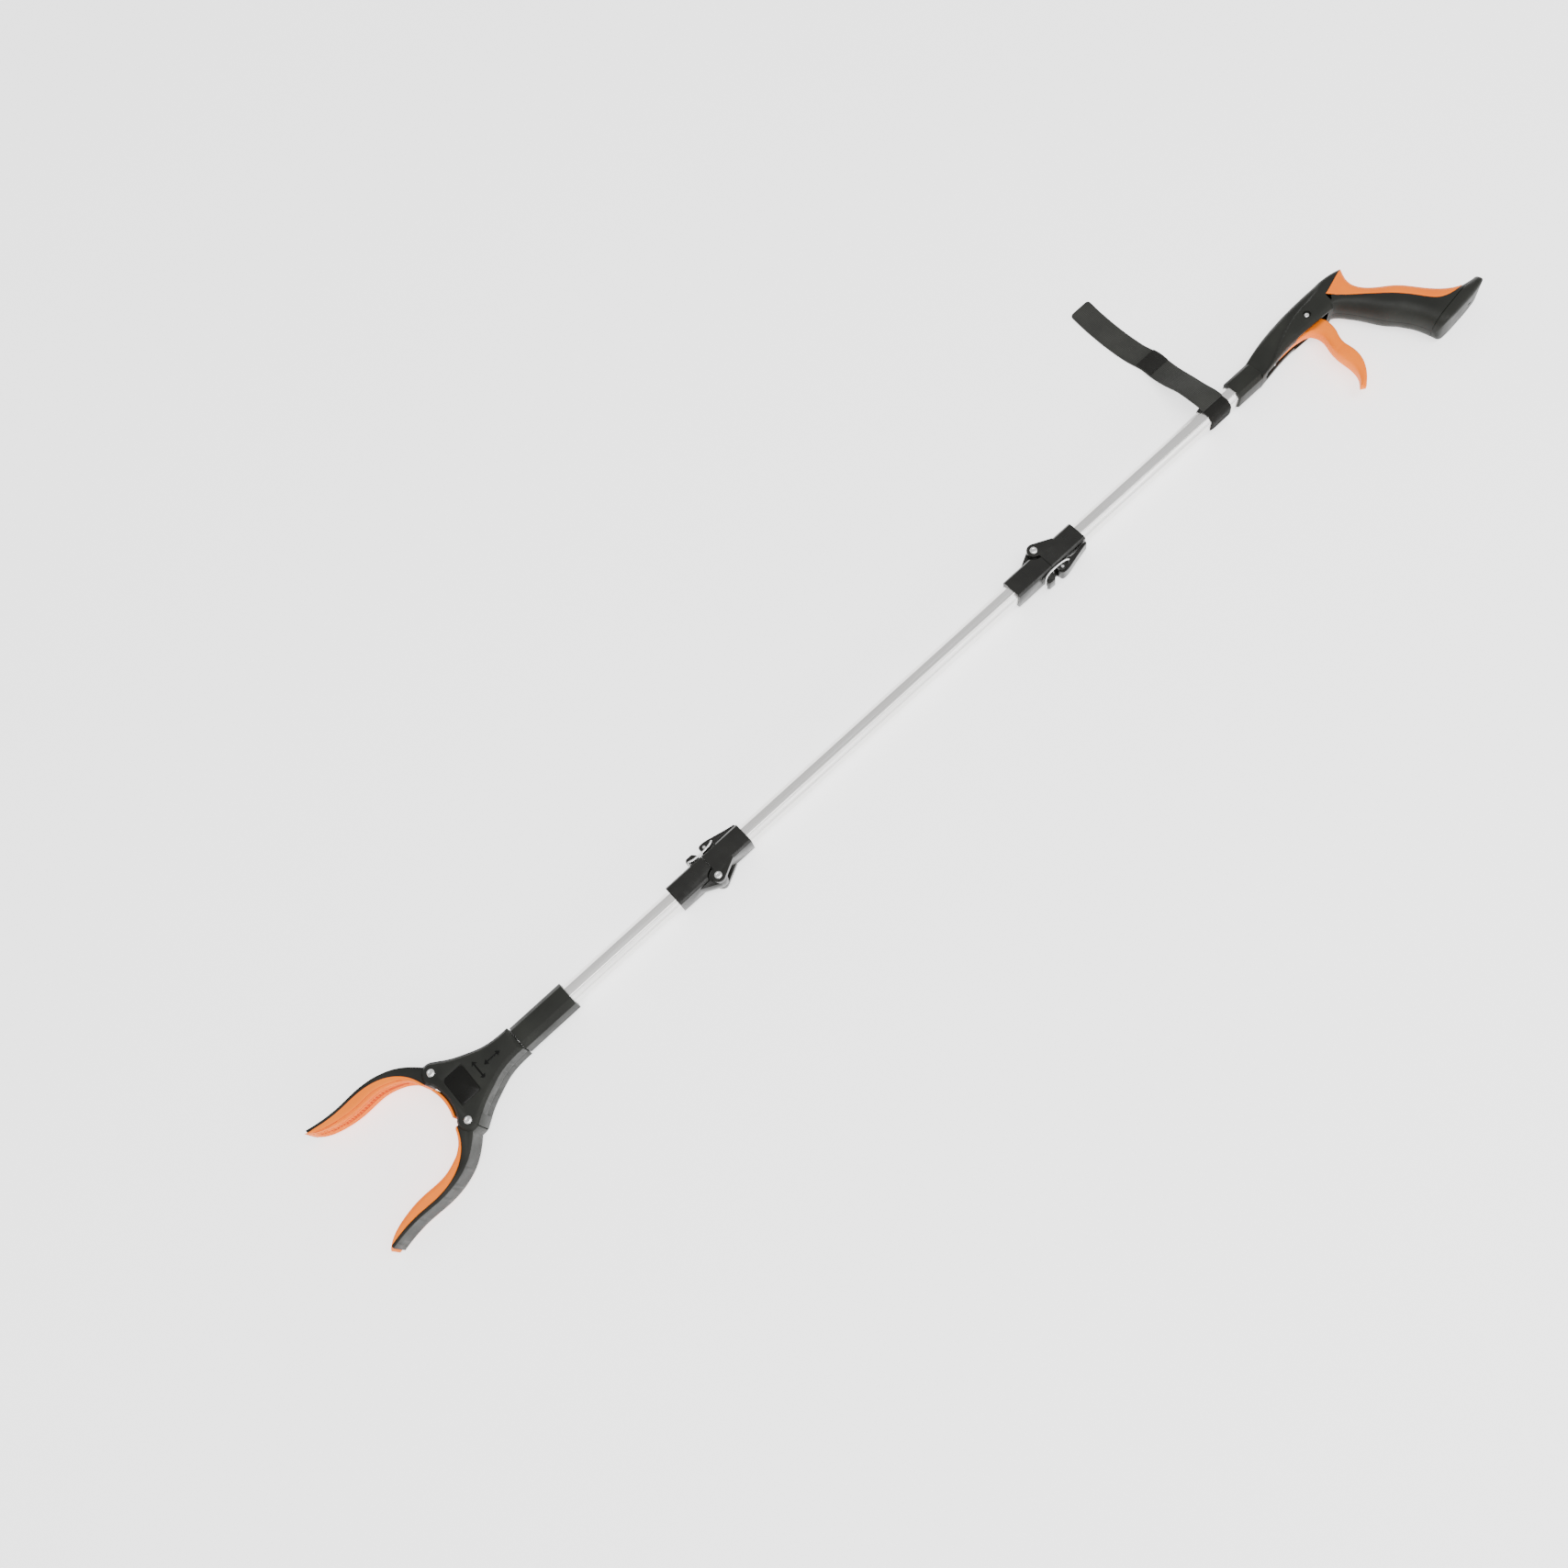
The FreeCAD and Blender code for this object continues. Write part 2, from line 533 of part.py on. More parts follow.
finish_part("trigger_wire", [wire])

# ---------------------------------------------------------------- wrist strap
STRAP_PLAY = 0.1
strap_loop = new_body("strap_loop")
loop_wide = dim("tube_wide") + 2 * STRAP_PLAY
loop_deep = dim("tube_deep") + 2 * STRAP_PLAY
thick = dim("strap_thick")
pad(strap_loop, "YZ_Plane", "dims.strap_start", "dims.strap_start + dims.strap_wide",
    octagon(loop_wide + 2 * thick, loop_deep + 2 * thick, dim("tube_bevel") + 1.0),
    octagon(loop_wide, loop_deep, dim("tube_bevel")))
floor = -dim("axis_z")
TAIL_LINE = [(10.4, 7.4), (20.0, 6.2), (32.0, 2.4), (46.0, -3.6), (60.0, -9.0), (76.0, -12.9), (90.0, floor + thick / 2),
             (dim("strap_reach"), floor + thick / 2)]
PATCH_LINE = TAIL_LINE[4:6]
PATCH_THICK = 1.2
PATCH_INSET = 0.5


def strip_outline(line, low, high):
    """The outline of a flat strip seen on edge, between two heights over its middle line."""
    return polygon([(y, z + low) for y, z in line] + [(y, z + high) for y, z in reversed(line)])


strap_tail = new_body("strap_tail")
pad(strap_tail, "YZ_Plane", "dims.tail_start", "dims.tail_start + dims.strap_wide",
    strip_outline(TAIL_LINE, -thick / 2, thick / 2))
patch = new_body("strap_hook_patch")
pad(patch, "YZ_Plane", f"dims.tail_start + {PATCH_INSET}", f"dims.tail_start + dims.strap_wide - {PATCH_INSET}",
    strip_outline(PATCH_LINE, thick / 2 + dim("fit"), thick / 2 + dim("fit") + PATCH_THICK))

# ---------------------------------------------------------------- head sleeve, spigot and hub
SPIGOT_START = -404.0
SPIGOT_END = -374.0
SPIGOT_SEAT = -409.0
HUB_END = -392.5
sleeve = new_body("head_sleeve")
pad(sleeve, "YZ_Plane", "dims.sleeve_start + dims.gap", "dims.sleeve_end",
    octagon(dim("sleeve_wide"), dim("sleeve_deep"), dim("sleeve_bevel")))
cut(sleeve, "YZ_Plane", f"dims.sleeve_end - {TUBE_IN_SLEEVE}", "dims.sleeve_end", tube_socket())
cut(sleeve, "YZ_Plane", "dims.sleeve_start", f"dims.sleeve_end - {TUBE_IN_SLEEVE}",
    ring((0, 0), dim("spigot_radius") + dim("fit")))
spigot = new_body("swivel_spigot")
pad(spigot, "YZ_Plane", str(SPIGOT_START), str(SPIGOT_END), ring((0, 0), dim("spigot_radius")),
    ring((0, 0), dim("spigot_bore")))

HUB_SIDE = [(HUB_END, 10.0), (-405.0, 10.4), (-415.0, 12.2), (-424.0, 15.6), (-437.0, 21.6),
            (-446.0, 27.4), (-450.6, 30.6)]
HUB_BOSS = [(-450.6, 30.6), (-458.6, 28.9), (-462.0, 22.6), (-459.4, 15.6)]
HUB_THROAT = [(-459.4, 15.6), (-456.4, 0.0), (-459.4, -15.6)]
WALL_END = -443.0
RECESS_DEPTH = 0.6
PLATE_BELOW = 0.1


def hub_outline():
    return runs([(HUB_END, -10.0), (HUB_END, 10.0)], HUB_SIDE, HUB_BOSS, HUB_THROAT,
                mirrored(HUB_BOSS), mirrored(HUB_SIDE))


def head_shell(label, side):
    """One half of the hub: a plate over the jaws' ears, with side walls along the neck."""
    body = new_body(label)

    def between(low, high):
        return (low, high) if side > 0 else (f"-({high})", f"-({low})")

    rim = pad(body, "XY_Plane", *between("0", "dims.head_half"), hub_outline())
    bevel_rim(body, rim, side * dim("head_half"), "dims.head_bevel")
    inside = "dims.head_half - dims.head_wall"
    cut(body, "XY_Plane", *between("0", inside), polygon([
        (-470.0, -40.0), (WALL_END, -40.0), (WALL_END, -22.6), (-437.0, -18.6), (-424.0, -12.4),
        (-415.0, -9.2), (-408.0, -8.0), (-408.0, 8.0), (-415.0, 9.2), (-424.0, 12.4),
        (-437.0, 18.6), (WALL_END, 22.6), (WALL_END, 40.0), (-470.0, 40.0)]))
    cut(body, "YZ_Plane", str(SPIGOT_SEAT), str(HUB_END), ring((0, 0), dim("spigot_radius") + dim("fit")))
    for y in (dim("jaw_y"), -dim("jaw_y")):
        cut(body, "XY_Plane", *between("0", "dims.head_half"),
            ring((dim("jaw_x"), y), dim("pin_radius") + dim("fit")))
    if side > 0:
        cut(body, "XY_Plane", f"dims.head_half - {RECESS_DEPTH}", "dims.head_half",
            rectangle((-450.4, -12.4), (-432.6, 12.4)))
    return body


head_shell("head_shell_near", 1)
head_shell("head_shell_far", -1)
badge = new_body("head_blank_plate")
pad(badge, "XY_Plane", f"dims.head_half - {RECESS_DEPTH} + dims.fit", f"dims.head_half - {PLATE_BELOW}",
    rectangle((-450.2, -12.2), (-432.8, 12.2)))
finish_part("jaw_rivets", [
    rivet("upper_jaw_rivet", "dims.pin_radius", "dims.pin_head", "dims.head_half", "dims.jaw_x", "dims.jaw_y"),
    rivet("lower_jaw_rivet", "dims.pin_radius", "dims.pin_head", "dims.head_half", "dims.jaw_x", "-dims.jaw_y")])
throat = new_body("throat_pad")
pad(throat, "XY_Plane", "-dims.jaw_half + 0.5", "dims.jaw_half - 0.5", runs(
    [(-461.0, -13.0), (-458.9, 0.0), (-461.0, 13.0)], [(-461.0, 13.0), (-459.2, 13.0)],
    [(-459.2, 13.0), (-456.7, 0.0), (-459.2, -13.0)], [(-459.2, -13.0), (-461.0, -13.0)]))

# ---------------------------------------------------------------- jaws, yoke and return spring
JAW_BACK = [(-455.5, 30.4), (-463.0, 38.0), (-472.0, 44.6), (-482.0, 49.0), (-492.0, 51.4), (-505.0, 52.2),
            (-519.0, 51.6), (-533.0, 52.4), (-547.0, 55.0)]
JAW_SEAM = [(-547.0, 52.6), (-533.0, 49.9), (-519.0, 49.0), (-505.0, 49.4), (-493.0, 48.2),
            (-483.0, 44.9), (-473.5, 38.6), (-466.0, 29.0), (-462.4, 19.8)]
PAD_INNER = [(-464.6, 21.0), (-467.6, 28.0), (-479.0, 36.6), (-492.0, 40.4), (-508.0, 40.4), (-522.0, 41.4),
             (-534.0, 44.6), (-543.0, 49.0), (-dim("half_length"), 54.6)]
DRIVE_PIN = 1.5
ARM_LOW = 4.2
ARM_HIGH = 8.6
drive_lean = math.radians(dim("drive_angle"))
drive_x = dim("jaw_x") + dim("drive_radius") * math.sin(drive_lean)
drive_y = dim("jaw_y") - dim("drive_radius") * math.cos(drive_lean)


def jaw(side):
    """One jaw: a black frame with its ear and drive arm, a rubber pad, and the drive pin."""
    name = "upper" if side > 0 else "lower"

    def turned(points):
        return points if side > 0 else [(x, -y) for x, y in points]

    pivot = turned([(dim("jaw_x"), dim("jaw_y"))])[0]
    drive = turned([(drive_x, drive_y)])[0]
    ear = "dims.head_half - dims.head_wall - dims.gap"
    frame = new_body("jaw_frame_" + name)
    pad(frame, "XY_Plane", "-dims.jaw_half + 0.9", "dims.jaw_half - 0.9", runs(
        turned(JAW_BACK), turned([JAW_BACK[-1], JAW_SEAM[0]]), turned(JAW_SEAM),
        turned([JAW_SEAM[-1], (-455.0, 20.0)]), turned([(-455.0, 20.0), JAW_BACK[0]])))
    pad(frame, "XY_Plane", f"-({ear})", ear, ring(pivot, dim("ear_radius")))
    for low, high in ((ARM_LOW, ARM_HIGH), (-ARM_HIGH, -ARM_LOW)):
        pad(frame, "XY_Plane", str(low), str(high), polygon(turned([
            (pivot[0] - 3.5, abs(pivot[1])), (drive_x - 3.0, drive_y), (drive_x - 1.4, drive_y - 2.6),
            (drive_x + 1.4, drive_y - 2.6), (drive_x + 3.0, drive_y), (pivot[0] + 5.5, abs(pivot[1]))])))
    cut(frame, "XY_Plane", "-dims.head_half", "dims.head_half",
        ring(pivot, dim("pin_radius") + dim("fit")), ring(drive, DRIVE_PIN + dim("fit")))
    rubber = new_body("jaw_pad_" + name)
    seam = [(x, y - 0.06) for x, y in JAW_SEAM]
    pad(rubber, "XY_Plane", "-dims.jaw_half", "dims.jaw_half", runs(
        turned(PAD_INNER), turned([PAD_INNER[-1], seam[0]]), turned(seam),
        turned([seam[-1], PAD_INNER[0]])))
    pin = cylinder("drive", str(DRIVE_PIN), f"-{ARM_HIGH}", f"{ARM_HIGH}", str(drive[0]), str(drive[1]))
    finish_part("drive_pin_" + name, [pin])


jaw(1)
jaw(-1)

SLOT_LOW = 4.3
SLOT_HIGH = 13.9
SLOT_HALF = DRIVE_PIN + 0.45
ROD_RADIUS = 2.0
YOKE_HALF = 3.6
YOKE_REACH = 15.4
YOKE_RIM = 1.5
ROD_END = -399.5
yoke = new_body("jaw_yoke")
pad(yoke, "XY_Plane", f"-{YOKE_HALF}", f"{YOKE_HALF}", rectangle(
    (drive_x - SLOT_HALF - YOKE_RIM, -YOKE_REACH), (drive_x + SLOT_HALF + YOKE_RIM, YOKE_REACH)))
for low, high in ((SLOT_LOW, SLOT_HIGH), (-SLOT_HIGH, -SLOT_LOW)):
    cut(yoke, "XY_Plane", f"-{YOKE_HALF}", f"{YOKE_HALF}",
        rectangle((drive_x - SLOT_HALF, low), (drive_x + SLOT_HALF, high)))
pad(yoke, "YZ_Plane", f"{drive_x + SLOT_HALF + YOKE_RIM - 0.1}", str(ROD_END), ring((0, 0), ROD_RADIUS))

SPRING_TURNS = 9
SPRING_START = drive_x + SLOT_HALF + 2.4
SPRING_END = -405.6
SPRING_WIRE = 0.45
coil = Part.makeHelix((SPRING_END - SPRING_START) / SPRING_TURNS, SPRING_END - SPRING_START,
                      ROD_RADIUS + 1.2)
section = Part.Wire([Part.makeCircle(SPRING_WIRE, FreeCAD.Vector(ROD_RADIUS + 1.2, 0, 0),
                                     FreeCAD.Vector(0, 1, 0))])
spring = doc.addObject("Part::Feature", "spring_coil")
spring.Shape = Part.Wire(coil.Edges).makePipeShell([section], True, True)
spring.Placement = FreeCAD.Placement(FreeCAD.Vector(SPRING_START, 0, 0),
                                     FreeCAD.Rotation(FreeCAD.Vector(0, 1, 0), 90))
finish_part("jaw_spring", [spring])

# ---------------------------------------------------------------- check and write
doc.recompute()
for feature in doc.Objects:
    if "Invalid" in feature.State or "Error" in feature.State:
        raise ValueError(f"{feature.Label} is {feature.State}")
for feature in subparts:
    shape = feature.Shape
    if shape.isNull() or not shape.isValid() or not shape.Solids:
        raise ValueError(f"{feature.Label} has no valid solid")
box = FreeCAD.BoundBox()
for feature in subparts:
    feature.Shape.exportStep(f"parts/{feature.Label}.step")
    box.add(feature.Shape.BoundBox)
print(len(subparts), "sub-parts, box", [round(value, 2) for value in (
    box.XMin, box.YMin, box.ZMin, box.XMax, box.YMax, box.ZMax)])
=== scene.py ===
"""A folding reacher grabber lying on a pale floor: three aluminium tubes with two latched fold
joints, a pistol handle with an orange trigger, a wrist strap, and a turning head with two jaws.
Sizes are in millimetres about the tubes' own axis until spot() puts them in the row frame.
"""
import bpy
import bmesh
import math
import numpy as np
from mathutils import Euler, Matrix, Vector


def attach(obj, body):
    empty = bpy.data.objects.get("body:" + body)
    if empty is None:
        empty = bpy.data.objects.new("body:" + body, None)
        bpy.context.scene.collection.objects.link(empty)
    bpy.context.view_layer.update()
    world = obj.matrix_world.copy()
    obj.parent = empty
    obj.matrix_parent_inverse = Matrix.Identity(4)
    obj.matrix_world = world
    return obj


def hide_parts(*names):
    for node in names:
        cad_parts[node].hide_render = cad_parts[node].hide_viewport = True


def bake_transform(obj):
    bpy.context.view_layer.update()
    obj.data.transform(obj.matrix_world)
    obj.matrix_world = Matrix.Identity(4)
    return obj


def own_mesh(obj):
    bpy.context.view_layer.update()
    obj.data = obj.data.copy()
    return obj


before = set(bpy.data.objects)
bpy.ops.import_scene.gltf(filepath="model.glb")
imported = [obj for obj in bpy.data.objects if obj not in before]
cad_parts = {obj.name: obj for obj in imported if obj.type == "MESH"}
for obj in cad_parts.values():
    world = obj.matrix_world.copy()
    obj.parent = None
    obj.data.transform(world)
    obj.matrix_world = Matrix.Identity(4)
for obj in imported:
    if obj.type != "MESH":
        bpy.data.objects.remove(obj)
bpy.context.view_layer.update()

# ================================================================ camera, floor and light
# The tool lies on a white sweep lit from below, seen from high above its trigger side. One long
# soft light stands low on the trigger side, and a wide one hangs overhead.
camera = bpy.data.cameras.new("camera")
camera.lens = 35.3193
camera.sensor_width = 36.0
camera_object = bpy.data.objects.new("camera", camera)
bpy.context.scene.collection.objects.link(camera_object)
lean = Euler([math.radians(angle) for angle in (19.955, 8.352, -41.9603)], "XYZ")
camera_object.matrix_world = Matrix.Translation((-0.26892, -0.424, 1.08575)) @ lean.to_matrix().to_4x4()
bpy.context.scene.camera = camera_object


def softbox(name, place, aim, size, watts):
    lamp = bpy.data.lights.new(name, "AREA")
    lamp.shape = "RECTANGLE"
    lamp.size, lamp.size_y = size
    lamp.energy = watts
    holder = bpy.data.objects.new(name, lamp)
    bpy.context.scene.collection.objects.link(holder)
    holder.location = place
    holder.rotation_euler = (Vector(aim) - Vector(place)).to_track_quat("-Z", "Y").to_euler()


softbox("low_softbox", (0.2, -1.5, 0.58), (0.0, 0.0, 0.0), (3.2, 0.26), 13)
softbox("overhead_softbox", (-0.1, -0.6, 2.1), (0.0, 0.0, 0.0), (2.6, 0.9), 50)
world = bpy.data.worlds.new("studio")
world.use_nodes = True
surroundings = world.node_tree.nodes["Background"].inputs
surroundings["Color"].default_value = (1.0, 1.0, 1.0, 1.0)
surroundings["Strength"].default_value = 0.85
bpy.context.scene.world = world


class Finish:
    """A procedural material: noise in object space feeds colour, roughness and a fine bump."""

    def __init__(self, name, roughness, metallic=0.0, specular=0.5, sheen=0.0):
        self.material = bpy.data.materials.new(name)
        self.material.use_nodes = True
        self.tree = self.material.node_tree
        self.shader = self.tree.nodes["Principled BSDF"]
        for label, value in (("Metallic", metallic), ("Specular IOR Level", specular),
                             ("Sheen Weight", sheen), ("Sheen Roughness", 0.5), ("Roughness", roughness)):
            self.shader.inputs[label].default_value = value
        self.coordinates = self.add("ShaderNodeTexCoord").outputs["Object"]
        self.bump = None

    def add(self, kind, **settings):
        node = self.tree.nodes.new(kind)
        for key, value in settings.items():
            setattr(node, key, value)
        return node

    def link(self, start, end):
        self.tree.links.new(start, end)

    def stretched(self, scale):
        node = self.add("ShaderNodeMapping")
        node.inputs["Scale"].default_value = scale
        self.link(self.coordinates, node.inputs["Vector"])
        return node.outputs["Vector"]

    def noise(self, scale, detail=3.0, stretch=None):
        node = self.add("ShaderNodeTexNoise")
        node.inputs["Scale"].default_value = scale
        node.inputs["Detail"].default_value = detail
        self.link(self.stretched(stretch) if stretch else self.coordinates, node.inputs["Vector"])
        return node.outputs["Fac"]

    def colours(self, factor, *stops):
        ramp = self.add("ShaderNodeValToRGB")
        while len(ramp.color_ramp.elements) < len(stops):
            ramp.color_ramp.elements.new(0.5)
        for element, (position, colour) in zip(ramp.color_ramp.elements, stops):
            element.position = position
            element.color = (*colour, 1.0)
        self.link(factor, ramp.inputs["Fac"])
        return ramp.outputs["Color"]

    def blend_colours(self, factor, first, second, mode="MIX"):
        node = self.add("ShaderNodeMix", data_type="RGBA", blend_type=mode)
        self.link(factor, node.inputs["Factor"])
        self.link(first, node.inputs["A"])
        self.link(second, node.inputs["B"])
        return node.outputs["Result"]

    def between(self, factor, low, high):
        node = self.add("ShaderNodeMapRange")
        for label, value in (("From Min", 0.3), ("From Max", 0.7), ("To Min", low), ("To Max", high)):
            node.inputs[label].default_value = value
        self.link(factor, node.inputs["Value"])
        return node.outputs["Result"]

    def paint(self, colour=None, roughness=None):
        if colour is not None:
            self.link(colour, self.shader.inputs["Base Color"])
        if roughness is not None:
            self.link(roughness, self.shader.inputs["Roughness"])

    def emboss(self, height, depth, strength=1.0):
        node = self.add("ShaderNodeBump")
        node.inputs["Distance"].default_value = depth
        node.inputs["Strength"].default_value = strength
        self.link(height, node.inputs["Height"])
        if self.bump is not None:
            self.link(self.bump, node.inputs["Normal"])
        self.bump = node.outputs["Normal"]
        self.link(self.bump, self.shader.inputs["Normal"])


def floor_finish():
    sweep = Finish("pale_sweep", 0.75, specular=0.2)
    sweep.paint(sweep.colours(sweep.noise(3.0), (0.3, (0.93, 0.93, 0.93)), (0.7, (0.95, 0.95, 0.95))),
                sweep.between(sweep.noise(40.0), 0.7, 0.85))
    sweep.shader.inputs["Emission Color"].default_value = (1.0, 1.0, 1.0, 1.0)
    sweep.shader.inputs["Emission Strength"].default_value = 1.5
    return sweep.material


floor_mesh = bpy.data.meshes.new("floor")
REACH = 4.0
floor_mesh.from_pydata([(-REACH, -REACH, 0), (REACH, -REACH, 0), (REACH, REACH, 0), (-REACH, REACH, 0)],
                       [], [(0, 1, 2, 3)])
floor_mesh.materials.append(floor_finish())
floor = bpy.data.objects.new("floor", floor_mesh)
bpy.context.scene.collection.objects.link(floor)

# ================================================================ aluminium tubes
# Three lengths of extruded aluminium tube, a stretched octagon in section, satin anodised. The
# die leaves faint lines along them, and their ends are pressed into the joints and the handle.
AXIS_Y, AXIS_Z = -36.7, 14.5


def spot(x, y, z):
    """A place about the tubes' axis, in millimetres, as a place in the row frame in metres."""
    return Vector((x / 1000.0, (y + AXIS_Y) / 1000.0, (z + AXIS_Z) / 1000.0))


def keep(name, mesh, material, body, nodes, smooth=38.0):
    """A finished mesh as a piece that rides on a body and stands for its CAD nodes."""
    mesh.shade_smooth()
    mesh.set_sharp_from_angle(angle=math.radians(smooth))
    chosen = [polygon.material_index for polygon in mesh.polygons]
    mesh.materials.clear()
    if isinstance(material, tuple):
        for finish in material:
            mesh.materials.append(finish)
        mesh.polygons.foreach_set("material_index", chosen)
    else:
        mesh.materials.append(material)
    piece = bpy.data.objects.new(name, mesh)
    bpy.context.scene.collection.objects.link(piece)
    if body:
        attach(piece, body)
    if nodes:
        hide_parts(*nodes)
    return piece


def modified(mesh, *modifiers):
    """The mesh after modifiers, given as (kind, settings) in order."""
    holder = bpy.data.objects.new("work", mesh)
    bpy.context.scene.collection.objects.link(holder)
    for kind, settings in modifiers:
        modifier = holder.modifiers.new(kind.lower(), kind)
        for key, value in settings.items():
            setattr(modifier, key, value)
    graph = bpy.context.evaluated_depsgraph_get()
    result = bpy.data.meshes.new_from_object(holder.evaluated_get(graph), depsgraph=graph)
    bpy.data.objects.remove(holder)
    return result


def softened(mesh, width, segments=3, angle=32.0):
    """Every hard edge rounded to a width in millimetres, as a mould or a deburring wheel leaves it."""
    return modified(mesh, ("BEVEL", {
        "width": width / 1000.0, "segments": segments, "limit_method": "ANGLE",
        "angle_limit": math.radians(angle), "harden_normals": False, "miter_outer": "MITER_ARC"}))


def closed(mesh):
    """Doubles merged and every face turned outwards."""
    shape = bmesh.new()
    shape.from_mesh(mesh)
    bmesh.ops.remove_doubles(shape, verts=shape.verts, dist=1e-6)
    bmesh.ops.dissolve_degenerate(shape, edges=shape.edges, dist=1e-7)
    bmesh.ops.recalc_face_normals(shape, faces=shape.faces)
    shape.to_mesh(mesh)
    shape.free()
    return mesh


def loft(name, rings, ends=True, joined=True):
    """Faces between equal rings of places in millimetres. ends closes both, joined closes each ring."""
    count = len(rings[0])
    mesh = bpy.data.meshes.new(name)
    places = [spot(*place) for ring in rings for place in ring]
    faces = []
    for i in range(len(rings) - 1):
        for j in range(count if joined else count - 1):
            k = (j + 1) % count
            faces.append((i * count + j, i * count + k, (i + 1) * count + k, (i + 1) * count + j))
    if ends:
        faces.append(tuple(range(count)))
        faces.append(tuple(range(len(places) - count, len(places))))
    mesh.from_pydata(places, [], faces)
    return closed(mesh)


def crossing(start, end, steps):
    """Places from one edge over to the other, closer together at both, each with its share of the way."""
    for i in range(steps + 1):
        t = 0.5 - 0.5 * math.cos(math.pi * i / steps)
        yield t, start[0] + (end[0] - start[0]) * t, start[1] + (end[1] - start[1]) * t


def mirrored(half):
    """A whole ring from its near half, in a part that is the same on both sides of the axis."""
    return half + [(x, y, -z) for x, y, z in reversed(half)]


def octagon(wide, deep, bevel, rounding=0.5, steps=3):
    """A stretched octagon with rounded corners, as (y, z) places."""
    a, b = wide / 2, deep / 2
    corners = [(a - bevel, b), (bevel - a, b), (-a, b - bevel), (-a, bevel - b),
               (bevel - a, -b), (a - bevel, -b), (a, bevel - b), (a, b - bevel)]
    outline = []
    for i, corner in enumerate(corners):
        here = Vector(corner)
        before = (Vector(corners[i - 1]) - here).normalized() * rounding
        after = (Vector(corners[(i + 1) % 8]) - here).normalized() * rounding
        for step in range(steps + 1):
            t = step / steps
            outline.append(here + before * (1 - t) ** 2 + after * t ** 2)
    return outline


def aluminium():
    metal = Finish("satin_aluminium", 0.3, metallic=1.0)
    lines = metal.noise(900.0, 2.0, (0.012, 1.0, 1.0))
    patches = metal.noise(22.0, 2.0, (0.5, 1.0, 1.0))
    metal.paint(metal.colours(patches, (0.3, (0.80, 0.785, 0.765)), (0.7, (0.87, 0.86, 0.845))),
                metal.between(lines, 0.24, 0.36))
    metal.emboss(lines, 0.00001, 0.5)
    scratches = metal.noise(260.0, 6.0, (0.2, 1.0, 1.0))
    metal.emboss(scratches, 0.000004, 0.3)
    return metal.material


satin_aluminium = aluminium()
TUBE_WIDE, TUBE_DEEP, TUBE_BEVEL, TUBE_WALL = 14.5, 16.5, 3.8, 1.1
for name, body, start, end in (("upper_tube", "handle", 149.5, 366.0),
                               ("middle_tube", "middle_section", -196.0, 129.5),
                               ("lower_tube", "lower_section", -372.0, -216.0)):
    outer = octagon(TUBE_WIDE, TUBE_DEEP, TUBE_BEVEL)
    inner = octagon(TUBE_WIDE - 2 * TUBE_WALL, TUBE_DEEP - 2 * TUBE_WALL, TUBE_BEVEL - 0.64, 0.3)
    rim = 0.15
    stations = [(start, inner), (start, [p * 0.985 for p in outer]), (start + rim, outer)]
    stations += [(start + rim + (end - start - 2 * rim) * i / 12, outer) for i in range(1, 13)]
    stations += [(end, [p * 0.985 for p in outer]), (end, inner), (start, inner)]
    rings = [[(x, p[0], p[1]) for p in outline] for x, outline in stations]
    keep(name + "_extrusion", loft(name, rings, ends=False), satin_aluminium, body, [name],
         25)

# ================================================================ fold joints
# Each joint is two black nylon blocks moulded round the tube ends, hinged on a steel pin with
# peened heads. A draw latch holds them in line: a lever, and a wire bail over a hook.


def nylon():
    plastic = Finish("black_nylon", 0.24, specular=0.4)
    cloud = plastic.noise(45.0, 4.0)
    plastic.paint(plastic.colours(cloud, (0.3, (0.0045, 0.0045, 0.0035)), (0.7, (0.008, 0.008, 0.0065))),
                  plastic.between(plastic.noise(160.0, 4.0), 0.2, 0.32))
    plastic.emboss(plastic.noise(1500.0, 2.0), 0.00001, 0.35)
    return plastic.material


def steel(name, roughness, colour):
    metal = Finish(name, roughness, metallic=1.0)
    metal.paint(metal.colours(metal.noise(180.0), (0.3, colour), (0.7, tuple(c * 1.12 for c in colour))),
                metal.between(metal.noise(600.0, 4.0), roughness - 0.06, roughness + 0.1))
    metal.emboss(metal.noise(1400.0, 3.0), 0.000005, 0.4)
    return metal.material


black_nylon = nylon()
bright_steel = steel("bright_steel", 0.22, (0.72, 0.72, 0.71))


def refined(node, width):
    """A copy of a CAD node with its flats made whole and its hard edges rounded to a width."""
    flat = 0.2
    shape = bmesh.new()
    shape.from_mesh(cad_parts[node].data)
    bmesh.ops.remove_doubles(shape, verts=shape.verts, dist=2e-6)
    bmesh.ops.dissolve_limit(shape, angle_limit=math.radians(flat), verts=shape.verts, edges=shape.edges)
    mesh = bpy.data.meshes.new(node)
    shape.to_mesh(mesh)
    shape.free()
    return softened(mesh, width)


def keep_refined(node, body, material, width):
    return keep(node + "_finished", refined(node, width), material, body, [node])


def coat(material, *nodes):
    """CAD nodes that stay as they are, with a finish put on them."""
    for node in nodes:
        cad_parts[node].data.materials.clear()
        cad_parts[node].data.materials.append(material)


